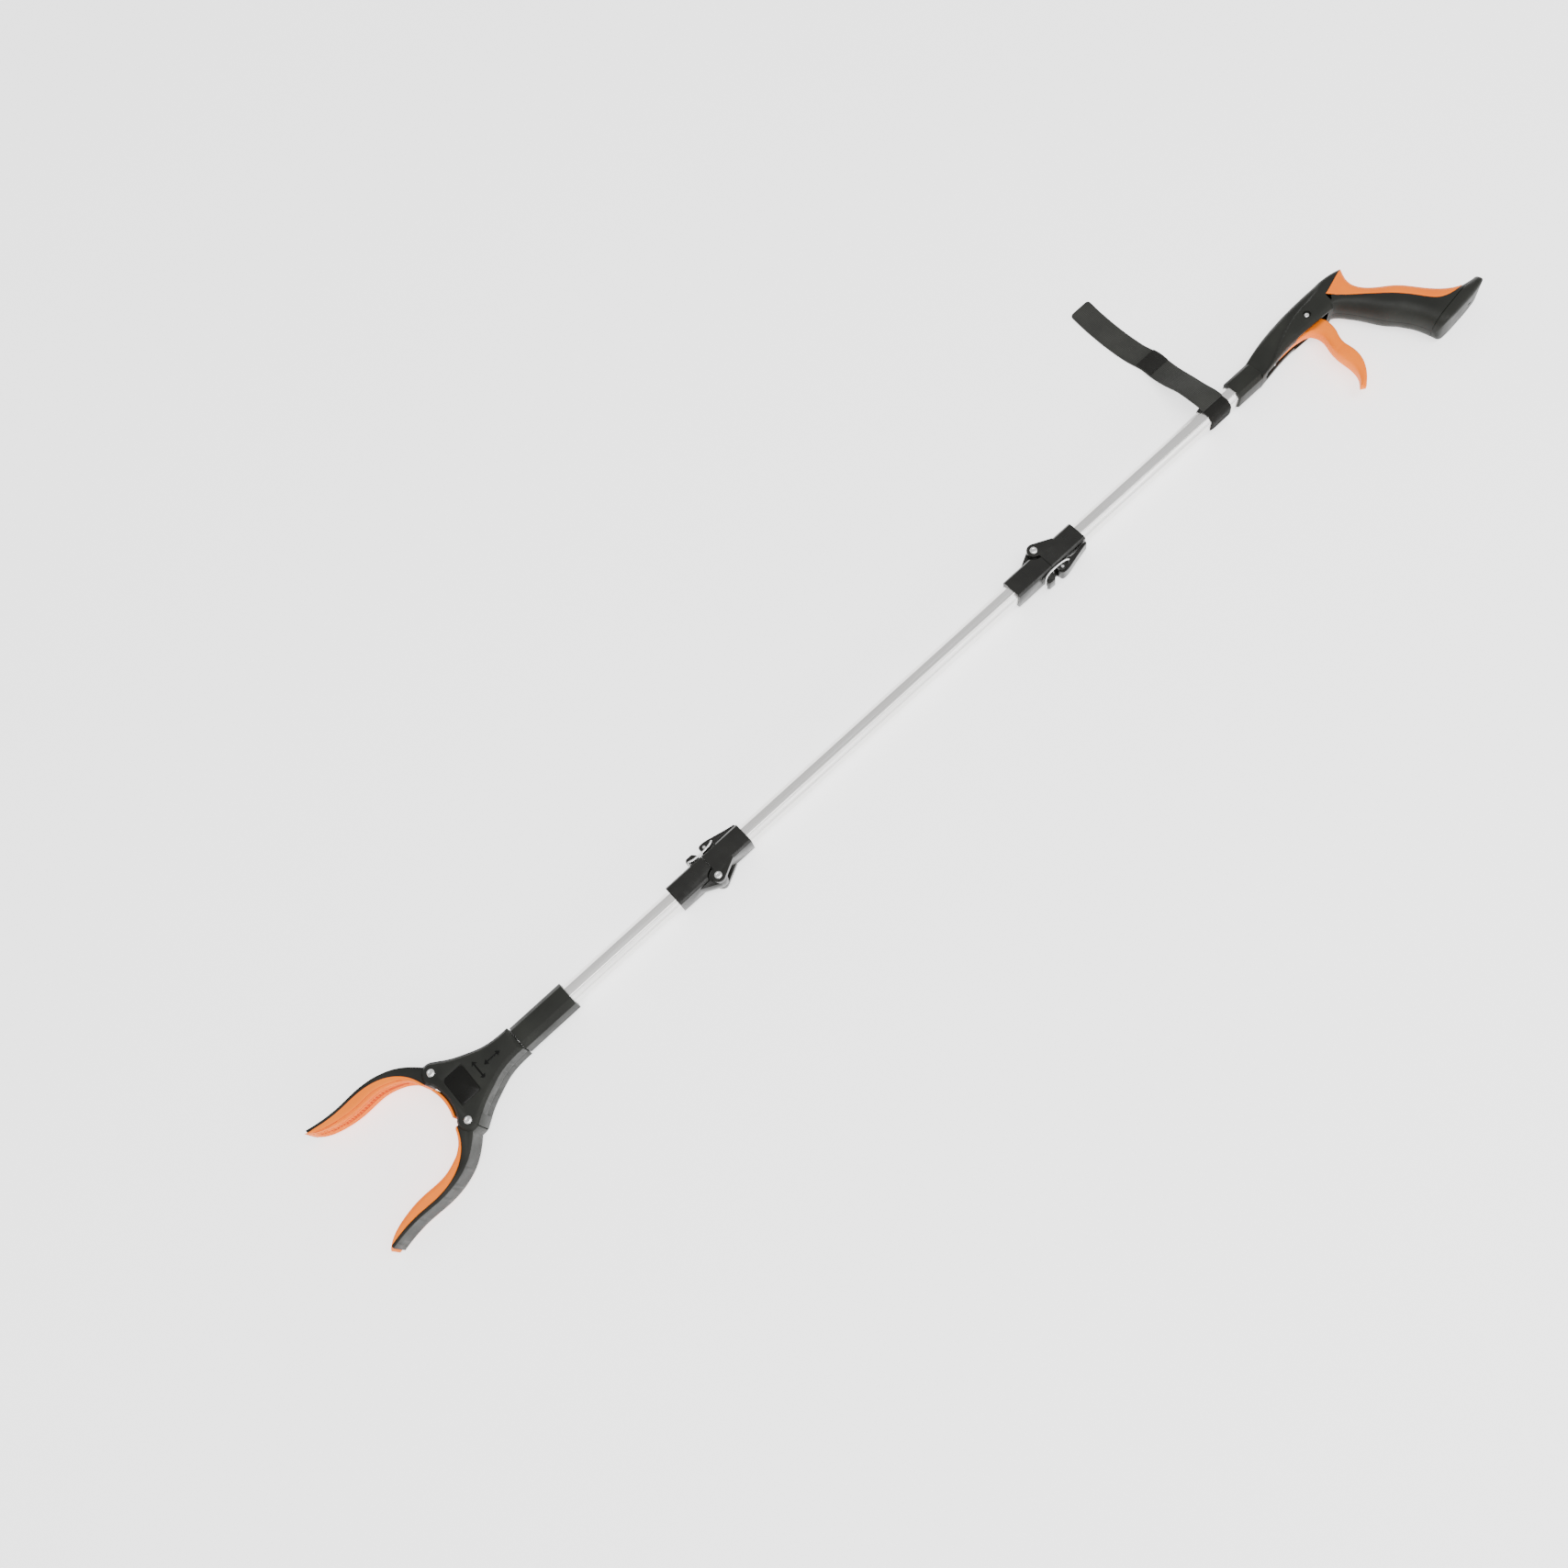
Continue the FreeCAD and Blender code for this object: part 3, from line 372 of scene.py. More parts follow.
def wire(name, points, radius, sides=6):
    """A round wire bent along a smooth line of places in millimetres, with its ends closed."""
    line = bpy.data.curves.new(name, "CURVE")
    line.dimensions = "3D"
    spline = line.splines.new("NURBS")
    spline.points.add(len(points) - 1)
    for point, place in zip(spline.points, points):
        point.co = (*spot(*place), 1.0)
    spline.order_u = 3
    spline.use_endpoint_u = True
    spline.resolution_u = 6
    line.bevel_depth = radius / 1000.0
    line.bevel_resolution = sides
    line.use_fill_caps = True
    holder = bpy.data.objects.new(name, line)
    bpy.context.scene.collection.objects.link(holder)
    graph = bpy.context.evaluated_depsgraph_get()
    mesh = bpy.data.meshes.new_from_object(holder.evaluated_get(graph), depsgraph=graph)
    bpy.data.objects.remove(holder)
    return closed(mesh)


def turned(name, profile, centre, side=1):
    """A round part about Z from (radius, height) places that start and end on its middle line."""
    around = 40
    rings = []
    for radius, height in profile:
        rings.append([(centre[0] + radius * math.cos(2 * math.pi * k / around),
                       centre[1] + radius * math.sin(2 * math.pi * k / around),
                       centre[2] + side * height) for k in range(around)])
    return loft(name, rings)


def joined_meshes(name, meshes):
    """Several closed meshes as one."""
    shape = bmesh.new()
    for mesh in meshes:
        shape.from_mesh(mesh)
    mesh = bpy.data.meshes.new(name)
    shape.to_mesh(mesh)
    shape.free()
    return mesh


def peened_pin(name, x, y, half, radius, head, sink=0.0):
    """A rivet: a shank with a low dome at each end and the dimple that the peening tool leaves."""
    dome = [(0.02, 0.55), (0.3 * head, 0.56), (0.42 * head, 0.85), (0.62 * head, 0.9), (0.85 * head, 0.6),
            (head, 0.1), (head, -0.2), (radius, -0.2), (radius, -0.6), (0.02, -0.6)]
    meshes = [turned(name, [(0.02, -half), (radius, -half), (radius, half), (0.02, half)], (x, y, 0.0))]
    for side in (1, -1):
        meshes.append(turned(name, dome, (x, y, side * (half - sink)), side))
    return joined_meshes(name, meshes)


FOLDS = (("fold_one", 139.5, 1, "handle", "middle_section", "one"),
         ("fold_two", -206.0, -1, "middle_section", "lower_section", "two"))
BAIL_HALF, BAIL_RADIUS = 8.2, 0.8
for prefix, pin_x, turn, near_body, far_body, number in FOLDS:
    keep_refined(prefix + "_handle_half", near_body, black_nylon, 0.7)
    keep_refined(prefix + "_jaw_half", far_body, black_nylon, 0.7)
    keep_refined(prefix + "_latch_lever", "latch_lever_" + number, black_nylon, 0.55)
    keep(prefix + "_hinge_rivet", peened_pin(prefix, pin_x, 11.5 * turn, 9.5, 1.95, 2.9),
         bright_steel, near_body, [prefix + "_hinge_pin"])
    bail_line = [(13.5, -12.3, 4.6), (13.5, -12.3, 7.0), (13.4, -12.2, BAIL_HALF), (10.5, -10.9, BAIL_HALF),
                 (4.0, -10.2, BAIL_HALF), (-3.0, -10.2, BAIL_HALF), (-7.2, -10.8, BAIL_HALF),
                 (-9.6, -11.7, BAIL_HALF), (-9.9, -11.9, BAIL_HALF - 1.6)]
    mesh = wire(prefix, [(pin_x + x, y * turn, z) for x, y, z in mirrored(bail_line)], BAIL_RADIUS)
    keep(prefix + "_latch_wire", mesh, bright_steel, "latch_bail_" + number,
         [prefix + "_latch_bail"])
    coat(bright_steel, prefix + "_lever_pin")

# ================================================================ pull cable
# A thin twisted steel cable runs down the middle of the tubes from the trigger to the jaws. It
# bends where the joints fold. It is six strands wound round one another.


class Tree:
    """A Geometry Nodes tree: geometry in, geometry out, and further inputs as (name, kind, default)."""

    def __init__(self, name, *inputs):
        self.group = bpy.data.node_groups.new(name, "GeometryNodeTree")
        sockets = self.group.interface
        sockets.new_socket("Geometry", in_out="INPUT", socket_type="NodeSocketGeometry")
        for label, kind, default in inputs:
            socket = sockets.new_socket(label, in_out="INPUT", socket_type="NodeSocket" + kind)
            socket.default_value = default
        sockets.new_socket("Material", in_out="INPUT", socket_type="NodeSocketMaterial")
        sockets.new_socket("Geometry", in_out="OUTPUT", socket_type="NodeSocketGeometry")
        self.given = self.node("NodeGroupInput").outputs

    def node(self, kind, inputs=None, **settings):
        """A node with its settings, and its inputs as constants or as other nodes' outputs."""
        made = self.group.nodes.new(kind)
        for key, value in settings.items():
            setattr(made, key, value)
        for key, source in (inputs or {}).items():
            if isinstance(source, bpy.types.NodeSocket):
                self.group.links.new(source, made.inputs[key])
            else:
                made.inputs[key].default_value = source
        return made

    def reckon(self, operation, first, second):
        return self.node("ShaderNodeMath", {0: first, 1: second}, operation=operation).outputs[0]

    def finished(self, geometry):
        """Copies made real and given the material, as what comes out of the tree."""
        real = self.node("GeometryNodeRealizeInstances", {0: geometry}).outputs[0]
        final = self.node("GeometryNodeSetMaterial", {"Geometry": real, "Material": self.given["Material"]})
        self.node("NodeGroupOutput", {0: final.outputs[0]})
        return self.group


STRAND_STEPS, STRAND_SIDES = 90, 7


def strand_tree():
    """One strand wound round the line it is given, and its copies, made solid."""
    tree = Tree("cable_strand", ("Lay Radius", "Float", 0.0005), ("Strand Radius", "Float", 0.0003),
                ("Turns", "Float", 4.0), ("Strands", "Int", 6))
    given = tree.given
    line = tree.node("GeometryNodeMeshToCurve", {0: given["Geometry"]}).outputs[0]
    line = tree.node("GeometryNodeResampleCurve", {0: line, 2: STRAND_STEPS}).outputs[0]
    copies = tree.node("GeometryNodeDuplicateElements", {0: line, 2: given["Strands"]},
                       domain="SPLINE").outputs
    phase = tree.reckon("DIVIDE", copies["Duplicate Index"], given["Strands"])
    share = tree.node("GeometryNodeSplineParameter").outputs["Factor"]
    along = tree.reckon("MULTIPLY", share, given["Turns"])
    angle = tree.reckon("MULTIPLY", tree.reckon("ADD", phase, along), 2 * math.pi)
    across = tree.node("ShaderNodeVectorRotate", {
        0: tree.node("GeometryNodeInputNormal").outputs[0],
        2: tree.node("GeometryNodeInputTangent").outputs[0], "Angle": angle}, rotation_type="AXIS_ANGLE")
    offset = tree.node("ShaderNodeVectorMath", {0: across.outputs[0], "Scale": given["Lay Radius"]},
                       operation="SCALE")
    moved = tree.node("GeometryNodeSetPosition",
                      {"Geometry": copies["Geometry"], "Offset": offset.outputs[0]})
    profile = tree.node("GeometryNodeCurvePrimitiveCircle",
                        {"Resolution": STRAND_SIDES, "Radius": given["Strand Radius"]})
    solid = tree.node("GeometryNodeCurveToMesh", {
        "Curve": moved.outputs[0], "Profile Curve": profile.outputs[0], "Fill Caps": True})
    return tree.finished(solid.outputs[0])


def grown(name, mesh, tree, **values):
    """What a Geometry Nodes tree makes of a mesh, as a plain mesh. Values are the tree's named inputs."""
    holder = bpy.data.objects.new(name, mesh)
    modifier = holder.modifiers.new("nodes", "NODES")
    modifier.node_group = tree
    names = {item.name: item.identifier for item in tree.interface.items_tree if item.in_out == "INPUT"}
    for key, value in values.items():
        modifier[names[key.replace("_", " ").title()]] = value
    bpy.context.scene.collection.objects.link(holder)
    graph = bpy.context.evaluated_depsgraph_get()
    made = bpy.data.meshes.new_from_object(holder.evaluated_get(graph), depsgraph=graph)
    bpy.data.objects.remove(holder)
    return made


cable_strand = strand_tree()
strand_steel = steel("strand_steel", 0.3, (0.56, 0.56, 0.55))
LAY_RADIUS, STRAND_RADIUS, LAY_LENGTH = 0.00051, 0.00029, 0.009


def cable_mesh(name, start, end):
    """A straight run of cable between two places in millimetres."""
    line = bpy.data.meshes.new(name)
    steps = 24
    places = [spot(*(a + (b - a) * i / steps for a, b in zip(start, end))) for i in range(steps + 1)]
    line.from_pydata(places, [(i, i + 1) for i in range(steps)], [])
    length = (places[-1] - places[0]).length
    return closed(grown(name, line, cable_strand, lay_radius=LAY_RADIUS, strand_radius=STRAND_RADIUS,
                        turns=length / LAY_LENGTH, strands=6, material=strand_steel))


for prefix, pin_x, _, near_body, far_body, number in FOLDS:
    bend = keep("cable_bend_strands_" + number, cable_mesh(prefix, (pin_x - 9.8, 0, 0), (pin_x + 10.8, 0, 0)),
                strand_steel, None, ["cable_bend_" + number])
    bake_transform(bend)
coat(strand_steel, "cable_upper", "cable_middle", "cable_lower")

# ================================================================ handle shells
# Two moulded halves of charcoal nylon, screwed together along a parting line round the edge. The
# barrel's upper side is stepped in, and the grip swells to a full round with finger grooves.


def moulded_charcoal(name, roughness, dark=(0.012, 0.0125, 0.011), light=(0.021, 0.022, 0.019)):
    plastic = Finish(name, roughness, specular=0.14)
    cloud = plastic.noise(30.0, 5.0)
    handled = plastic.noise(9.0, 3.0)
    base = plastic.colours(cloud, (0.3, dark), (0.7, light))
    worn = plastic.colours(handled, (0.35, (0.9, 0.9, 0.9)), (0.68, (1.12, 1.12, 1.1)))
    half = plastic.noise(4.0)
    plastic.paint(plastic.blend_colours(plastic.between(half, 0.55, 0.95), base, worn, "MULTIPLY"),
                  plastic.between(plastic.noise(70.0, 5.0), roughness - 0.05, roughness + 0.1))
    plastic.emboss(plastic.noise(2200.0, 2.0), 0.00002, 0.5)
    plastic.emboss(plastic.noise(260.0, 3.0), 0.00002, 0.2)
    return plastic.material


charcoal = moulded_charcoal("charcoal_nylon", 0.42)


def spline_through(points, spacing=0.6):
    """A smooth line through places in a plane, as a dense list."""
    points = np.array(points, float)
    if len(points) < 3:
        steps = max(2, int(np.linalg.norm(points[1] - points[0]) / spacing))
        return [tuple(points[0] + (points[1] - points[0]) * i / steps) for i in range(steps + 1)]
    knots = np.concatenate([[0], np.cumsum(np.linalg.norm(np.diff(points, axis=0), axis=1))])
    gaps = np.diff(knots)
    n = len(points)
    matrix, right = np.zeros((n, n)), np.zeros((n, 2))
    matrix[0, 0] = matrix[-1, -1] = 1.0
    for i in range(1, n - 1):
        matrix[i, i - 1], matrix[i, i], matrix[i, i + 1] = gaps[i - 1], 2 * (gaps[i - 1] + gaps[i]), gaps[i]
        right[i] = 6 * ((points[i + 1] - points[i]) / gaps[i] - (points[i] - points[i - 1]) / gaps[i - 1])
    curve = np.linalg.solve(matrix, right)
    result = []
    for i in range(n - 1):
        steps = max(2, int(gaps[i] / spacing))
        for step in range(steps + (1 if i == n - 2 else 0)):
            t = step / steps
            a, b = 1 - t, t
            bend = ((a ** 3 - a) * curve[i] + (b ** 3 - b) * curve[i + 1]) * gaps[i] ** 2 / 6
            result.append(tuple(a * points[i] + b * points[i + 1] + bend))
    return result


def paired(first, second, pairs, spacing=1.2):
    """Matches two lines: pairs are places that lie opposite each other. Returns equal lists of places."""
    lines = [np.array(first), np.array(second)]
    marks = [[int(np.argmin(np.linalg.norm(line - np.array(pair[k]), axis=1))) for pair in pairs]
             for k, line in enumerate(lines)]
    result = [[], []]
    for i in range(len(pairs) - 1):
        longest = max(np.linalg.norm(np.diff(lines[k][marks[k][i]:marks[k][i + 1] + 1], axis=0), axis=1).sum()
                      for k in (0, 1))
        steps = max(1, int(round(longest / spacing)))
        for k in (0, 1):
            stretch = lines[k][marks[k][i]:marks[k][i + 1] + 1]
            run = np.concatenate([[0], np.cumsum(np.linalg.norm(np.diff(stretch, axis=0), axis=1))])
            wanted = [run[-1] * step / steps for step in range(steps + (1 if i == len(pairs) - 2 else 0))]
            result[k] += [(float(np.interp(w, run, stretch[:, 0])), float(np.interp(w, run, stretch[:, 1])))
                          for w in wanted]
    return result


def distance_to(outline, x, y):
    """How far a place is from a line of places."""
    start, run = outline[:-1], np.diff(outline, axis=0)
    length = np.maximum((run ** 2).sum(axis=1), 1e-12)
    along = np.clip((((x, y) - start) * run).sum(axis=1) / length, 0.0, 1.0)
    nearest = start + run * along[:, None]
    return float(np.sqrt(((nearest - (x, y)) ** 2).sum(axis=1).min()))


def ease(value, low, high):
    t = min(1.0, max(0.0, (value - low) / (high - low)))
    return t * t * (3 - 2 * t)


def pillow(distance, reach, power=2.3):
    """0 at an edge rising to 1 a reach away from it, as a rounded side does."""
    t = 1.0 - min(1.0, max(0.0, distance / reach))
    return (1.0 - t ** power) ** (1.0 / power)


SPINE = [(370.0, 9.0), (385.0, 13.2), (405.0, 17.2), (430.0, 19.4), (455.0, 19.9), (474.0, 18.6),
         (485.5, 15.6)]
BACK = [(485.5, 15.6), (481.5, 8.0), (479.5, -1.0), (484.5, -11.0), (500.0, -25.0), (512.5, -42.5),
        (524.0, -56.0), (536.0, -62.6), (546.5, -64.2)]
FRONT = [(490.3, -71.8), (487.0, -60.0), (480.5, -49.0), (475.5, -41.5), (468.0, -28.0), (459.5, -13.2),
         (453.5, -7.0), (447.0, -5.6)]
BELLY = [(447.0, -5.6), (425.0, -4.6), (400.0, -5.0), (384.0, -7.0), (370.0, -9.0)]
BACK_PAD = [(456.0, 6.4), (463.0, -2.5), (474.0, -16.0), (490.0, -33.0), (501.5, -50.0), (508.5, -59.5),
            (517.0, -63.6), (531.0, -64.4)]
BODY_HALF, GRIP_HALF, NOSE_HALF = 11.4, 14.4, 9.55
spine_line, back_line = spline_through(SPINE), spline_through(BACK)
front_line, belly_line = spline_through(FRONT)[::-1], spline_through(BELLY)[::-1]
# the round-over runs off both ends of the handle, so the outline is carried on past them
silhouette = np.array([(355.0 + i, 9.0) for i in range(15)] + spine_line + back_line
                      + [(546.5 + i * 0.45, -64.2 - i * 0.9) for i in range(1, 16)]
                      + [(490.3 + i * 0.2, -71.8 - i) for i in range(14, 0, -1)]
                      + front_line[::-1] + belly_line[::-1] + [(370.0 - i, -9.0) for i in range(1, 15)])
CREASE = np.array(spline_through([(368.0, -8.6), (380.0, -6.6), (394.0, -1.4), (408.0, 4.2), (422.0, 8.8),
                                  (436.0, 11.2), (450.0, 12.2), (470.0, 13.4)]))


def handle_height(x, y):
    """Half the handle's thickness at a place in its side view."""
    edge = distance_to(silhouette, x, y)
    grip = ease((x - 452.0) * 0.72 - (y + 2.0) * 0.69, 2.0, 30.0)
    nose = 1.0 - ease(x, 368.0, 412.0)
    half = BODY_HALF + (GRIP_HALF - BODY_HALF) * grip + (NOSE_HALF - BODY_HALF) * nose
    reach = 6.4 + 6.4 * grip - 3.4 * nose
    wall = 2.0 - 1.6 * grip + 4.4 * nose
    if y < 2.0 and x < 452.0:
        beside_slot = 6.2 + 2.6 * ease(x, 410.0, 416.0)
        wall = max(wall, beside_slot * ease(-y, -2.0, 2.0) * (1 - ease(x, 450.0, 456.0)))
    height = wall + (half - wall) * pillow(edge, reach)
    nearest = CREASE[int(np.argmin(((CREASE - (x, y)) ** 2).sum(axis=1)))]
    above = (y - nearest[1]) * (1 - ease(x, 440.0, 466.0)) * ease(x, 367.0, 376.0)
    height -= 1.7 * ease(above, -0.4, 1.3) * pillow(edge, 3.0)
    swell = math.exp(-((x - 477.0) ** 2 + (y + 36.0) ** 2) / 60.0) - 0.8 * math.exp(
        -((x - 484.0) ** 2 + (y + 46.5) ** 2) / 30.0)
    return height + 0.55 * swell * grip


def slot_half(x):
    """How far the shells stand back from the parting line, for the trigger's slot in the belly."""
    if x < 377.0 or x > 447.5:
        return 0.0
    return 4.0 if x < 413.0 else 7.6


def shell_edges():
    """Equal lines along one half of the handle: the belly, and the spine with the back pad's edge."""
    tang, heel = BACK[0], BACK[-1]
    upper = spine_line + spline_through([tang, BACK_PAD[0]])[1:] + spline_through(BACK_PAD)[1:]
    upper += spline_through([BACK_PAD[-1], heel])[1:]
    lower = belly_line + front_line[1:]
    pairs = [((370.0, -9.0), (370.0, 9.0)), ((384.0, -7.0), (385.0, 13.2)),
             ((400.0, -5.0), (402.0, 16.6)), ((425.0, -4.6), (428.0, 19.2)),
             ((440.0, -5.2), (446.0, 19.9)), ((447.0, -5.6), (474.0, 18.6)), ((449.0, -5.8), tang),
             ((453.5, -7.0), (456.0, 6.4)), ((459.5, -13.2), (463.0, -2.5)),
             ((468.0, -28.0), (481.0, -23.0)), ((475.5, -41.5), (492.5, -36.6)),
             ((480.5, -49.0), (501.5, -50.0)), ((487.0, -60.0), (508.5, -59.5)),
             ((489.0, -66.0), (531.0, -64.4)), ((490.3, -71.8), heel)]
    return paired(lower, upper, pairs, 1.3)


ACROSS, LIP = 30, 0.12


def half_shell(name, side):
    """One half: over the outside from belly to spine, and back along the parting line and the slot."""
    rings = []
    for (ax, ay), (bx, by) in zip(*shell_edges()):
        ring = []
        slot = max(slot_half(ax), LIP)
        reach = math.hypot(bx - ax, by - ay)
        for t, x, y in crossing((ax, ay), (bx, by), ACROSS):
            height = handle_height(x, y)
            height -= 0.45 * (1 - pillow(reach * (1 - t), 0.6, 2.0)) * (1 if ax > 449.0 else 0)
            ring.append((x, y, side * max(height, LIP)))
        top = min(1.0, 1.0 - 3.4 / max(6.0, reach))
        cx, cy = ax + (bx - ax) * top, ay + (by - ay) * top
        ring += [(bx, by, side * LIP), (cx, cy, side * LIP), (cx, cy, side * slot), (ax, ay, side * slot)]
        rings.append(ring)
    return loft(name, rings)


def drilled(mesh, holes):
    """The mesh with holes cut in it: each hole is given as a closed mesh of its own."""
    for hole in holes:
        tool = bpy.data.objects.new("tool", hole)
        bpy.context.scene.collection.objects.link(tool)
        mesh = modified(mesh, ("BOOLEAN", {"operation": "DIFFERENCE", "object": tool, "solver": "EXACT"}))
        bpy.data.objects.remove(tool)
    return mesh


def plug(x, y, radius, low, high):
    return turned("plug", [(0.02, low), (radius, low), (radius, high), (0.02, high)], (x, y, 0.0))


SCREWS = [(393.0, 8.0, 11.5), (459.0, 14.2, 11.5), (498.0, -65.0, 14.5)]
TRIGGER_PIVOT = (432.5, 4.0)
near_shell = drilled(half_shell("near", 1), [plug(*TRIGGER_PIVOT, 3.3, BODY_HALF - 1.5, BODY_HALF + 4)])
keep("handle_shell_near_moulded", near_shell, charcoal, "handle", ["handle_shell_near"],
     30)
far_holes = [plug(x, y, 3.25, -20.0, 2.4 - half) for x, y, half in SCREWS]
far_holes.append(plug(*TRIGGER_PIVOT, 3.3, -BODY_HALF - 4, 1.5 - BODY_HALF))
far_shell = drilled(half_shell("far", -1), far_holes)
keep("handle_shell_far_moulded", far_shell, charcoal, "handle", ["handle_shell_far"],
     30)
keep("trigger_pivot_rivet", peened_pin("trigger_pivot", *TRIGGER_PIVOT, BODY_HALF - 1.2, 1.95, 2.3, 0.2),
     bright_steel, "handle", ["trigger_pin"])

# ---- the collar that the upper tube is pressed into, moulded as a separate ferrule
keep_refined("handle_collar", "handle", charcoal, 0.9)


# ---- three self-tapping screws with a round socket hold the shells together from the far side
def screw(x, y, half):
    head = [(0.02, 0.55), (0.9, 0.55), (0.95, 1.15), (2.4, 1.1), (2.95, 0.7), (3.0, 0.0), (1.5, -0.1),
            (1.5, -6.0), (0.02, -6.4)]
    return turned("screw", head, (x, y, 1.9 - half), -1)


keep("handle_screw_set", joined_meshes("screws", [screw(*place) for place in SCREWS]), bright_steel,
     "handle", ["handle_screws"])

# ================================================================ back pad
# A soft orange rubber pad is moulded over the back of the grip, where the web of the hand sits.
# It wraps round from one side to the other and stands a hair proud of the shells.


def rubber(name, dark, light, roughness, grain):
    soft = Finish(name, roughness, specular=0.12)
    cloud = soft.noise(38.0, 4.0)
    soft.paint(soft.colours(cloud, (0.3, dark), (0.7, light)),
               soft.between(soft.noise(120.0, 4.0), roughness - 0.06, roughness + 0.1))
    soft.emboss(soft.noise(grain, 2.0), 0.000025, 0.5)
    return soft.material


pad_rubber = rubber("orange_grip_rubber", (0.92, 0.175, 0.003), (0.98, 0.21, 0.006), 0.55, 1900.0)
inner_edge = spline_through([(484.6, 14.9), (456.6, 6.2)])[:-1] + spline_through(BACK_PAD)
outer_edge = [(485.2, 15.2)] + back_line[1:]
outer_edge = [place for place in outer_edge if place[0] < 534.5 or place[1] > -50]
pad_pairs = [((484.6, 14.9), (485.2, 15.2)), ((470.0, 10.4), (483.2, 11.6)), ((456.6, 6.2), (481.5, 8.0)),
             ((463.0, -2.5), (479.5, -1.0)), ((474.0, -16.0), (484.5, -11.0)),
             ((490.0, -33.0), (500.0, -25.0)), ((501.5, -50.0), (512.5, -42.5)),
             ((508.5, -59.5), (524.0, -56.0)), ((530.0, -64.3), (534.2, -61.9))]
inner_line, outer_line = paired(inner_edge, outer_edge, pad_pairs, 1.3)
pad_rings = []
PAD_PROUD = 0.22
for inner, outer in zip(inner_line, outer_line):
    half_ring = []
    reach = math.hypot(outer[0] - inner[0], outer[1] - inner[1])
    for t, x, y in crossing(inner, outer, 14):
        height = handle_height(x, y) + PAD_PROUD
        height -= 0.6 * (1 - pillow(reach * t, 0.8, 2.0))
        half_ring.append((x, y, max(height, 0.5)))
    pad_rings.append(mirrored(half_ring))
keep("back_pad_moulded", loft("back_pad", pad_rings), pad_rubber, "handle", ["back_pad"], 50)

# ================================================================ butt cap
# The end of the grip is closed by a separate charcoal cap with a rounded rim. A small slot in its
# face takes the moulding's gate.
CAP_BOTTOM = [(490.3, -71.8), (491.6, -76.0), (497.0, -77.9), (515.0, -77.4), (538.0, -74.6),
              (546.4, -70.6), (546.5, -64.2)]
cap_bottom = spline_through(CAP_BOTTOM)
seam = [(490.3 + (546.5 - 490.3) * i / 80, -71.8 + (71.8 - 64.2) * i / 80) for i in range(81)]
seam = [(x, y - 0.25) for x, y in seam]
cap_pairs = [(seam[0], cap_bottom[0]), (seam[3], cap_bottom[6]), (seam[10], (497.0, -77.9)),
             (seam[34], (515.0, -77.6)), (seam[68], (538.0, -74.6)), (seam[76], (546.4, -70.6)),
             (seam[80], cap_bottom[-1])]
seam_line, bottom_line = paired(seam, cap_bottom, cap_pairs, 1.2)
cap_rings = []
for (ax, ay), (bx, by) in zip(seam_line, bottom_line):
    half_ring = []
    reach = math.hypot(bx - ax, by - ay)
    for t, x, y in crossing((ax, ay), (bx, by), 9):
        height = handle_height(x, y)
        height -= min(1.7, height * 0.5) * (1 - pillow(reach * (1 - t), 2.0, 2.0))
        height -= 0.35 * (1 - pillow(reach * t, 0.6, 2.0))
        half_ring.append((x, y, max(height, 0.3)))
    half_ring += [(bx, by, half_ring[-1][2] * (1 - k / 5)) for k in range(1, 5)]
    cap_rings.append(mirrored(half_ring))
slot_tool = loft("slot", [[(x, y, z)
                           for y, z in ((-81.0, -1.3), (-75.6, -1.3), (-75.6, 1.3), (-81.0, 1.3))]
                          for x in (527.0, 533.5)])
keep("butt_cap_moulded", drilled(loft("cap", cap_rings), [slot_tool]), charcoal, "handle", ["butt_cap"],
     35)

# ================================================================ trigger and its wire
# The trigger is one moulding of orange nylon: a finger blade with rounded edges, and an arm that
# reaches forward in the belly's slot to the cable's nipple.
TRIGGER_TOP = [(387.0, -1.6), (402.0, 0.4), (418.0, 3.6), (427.0, 10.0), (435.0, 11.4), (440.4, 6.0),
               (442.4, -1.5)]
TRIGGER_BACK = [(442.4, -1.5), (442.9, -8.5), (441.3, -19.5), (437.2, -29.0), (437.2, -41.0),
                (434.0, -53.5), (427.0, -63.0), (419.0, -69.6)]
TRIGGER_FRONT = [(415.3, -67.0), (421.8, -60.0), (425.2, -50.0), (425.4, -38.0), (427.6, -26.0),
                 (430.4, -16.0), (428.0, -8.0), (420.0, -4.9)]
trigger_nylon = rubber("orange_trigger_nylon", (0.92, 0.18, 0.003), (0.98, 0.22, 0.006), 0.4, 1600.0)
top_edge = spline_through(TRIGGER_TOP) + spline_through(TRIGGER_BACK)[1:]
under_edge = spline_through([(387.0, -4.3), (402.0, -3.7), (414.0, -3.9), (420.0, -4.9)])
under_edge += spline_through(TRIGGER_FRONT)[::-1][1:]
tip = [(419.0, -69.6), (417.4, -69.9), (415.9, -69.0), (415.3, -67.0)]
trigger_outline = np.array(top_edge + under_edge + spline_through(tip))
trigger_pairs = [((387.0, -4.3), (387.0, -1.6)), ((402.0, -3.7), (402.0, 0.4)),
                 ((414.0, -3.9), (416.0, 3.0)), ((420.0, -4.9), (427.0, 10.0)),
                 ((425.0, -6.2), (435.0, 11.4)), ((428.0, -8.0), (440.4, 6.0)),
                 ((429.8, -11.0), (442.4, -1.5)), ((430.4, -16.0), (442.9, -8.5)),
                 ((427.6, -26.0), (441.3, -19.5)), ((425.6, -34.0), (437.2, -29.0)),
                 ((425.6, -45.0), (437.2, -41.0)), ((425.2, -50.0), (434.0, -53.5)),
                 ((421.8, -60.0), (427.0, -63.0)), ((415.3, -67.0), (419.0, -69.6))]
under_line, top_line = paired(under_edge, top_edge, trigger_pairs, 1.1)
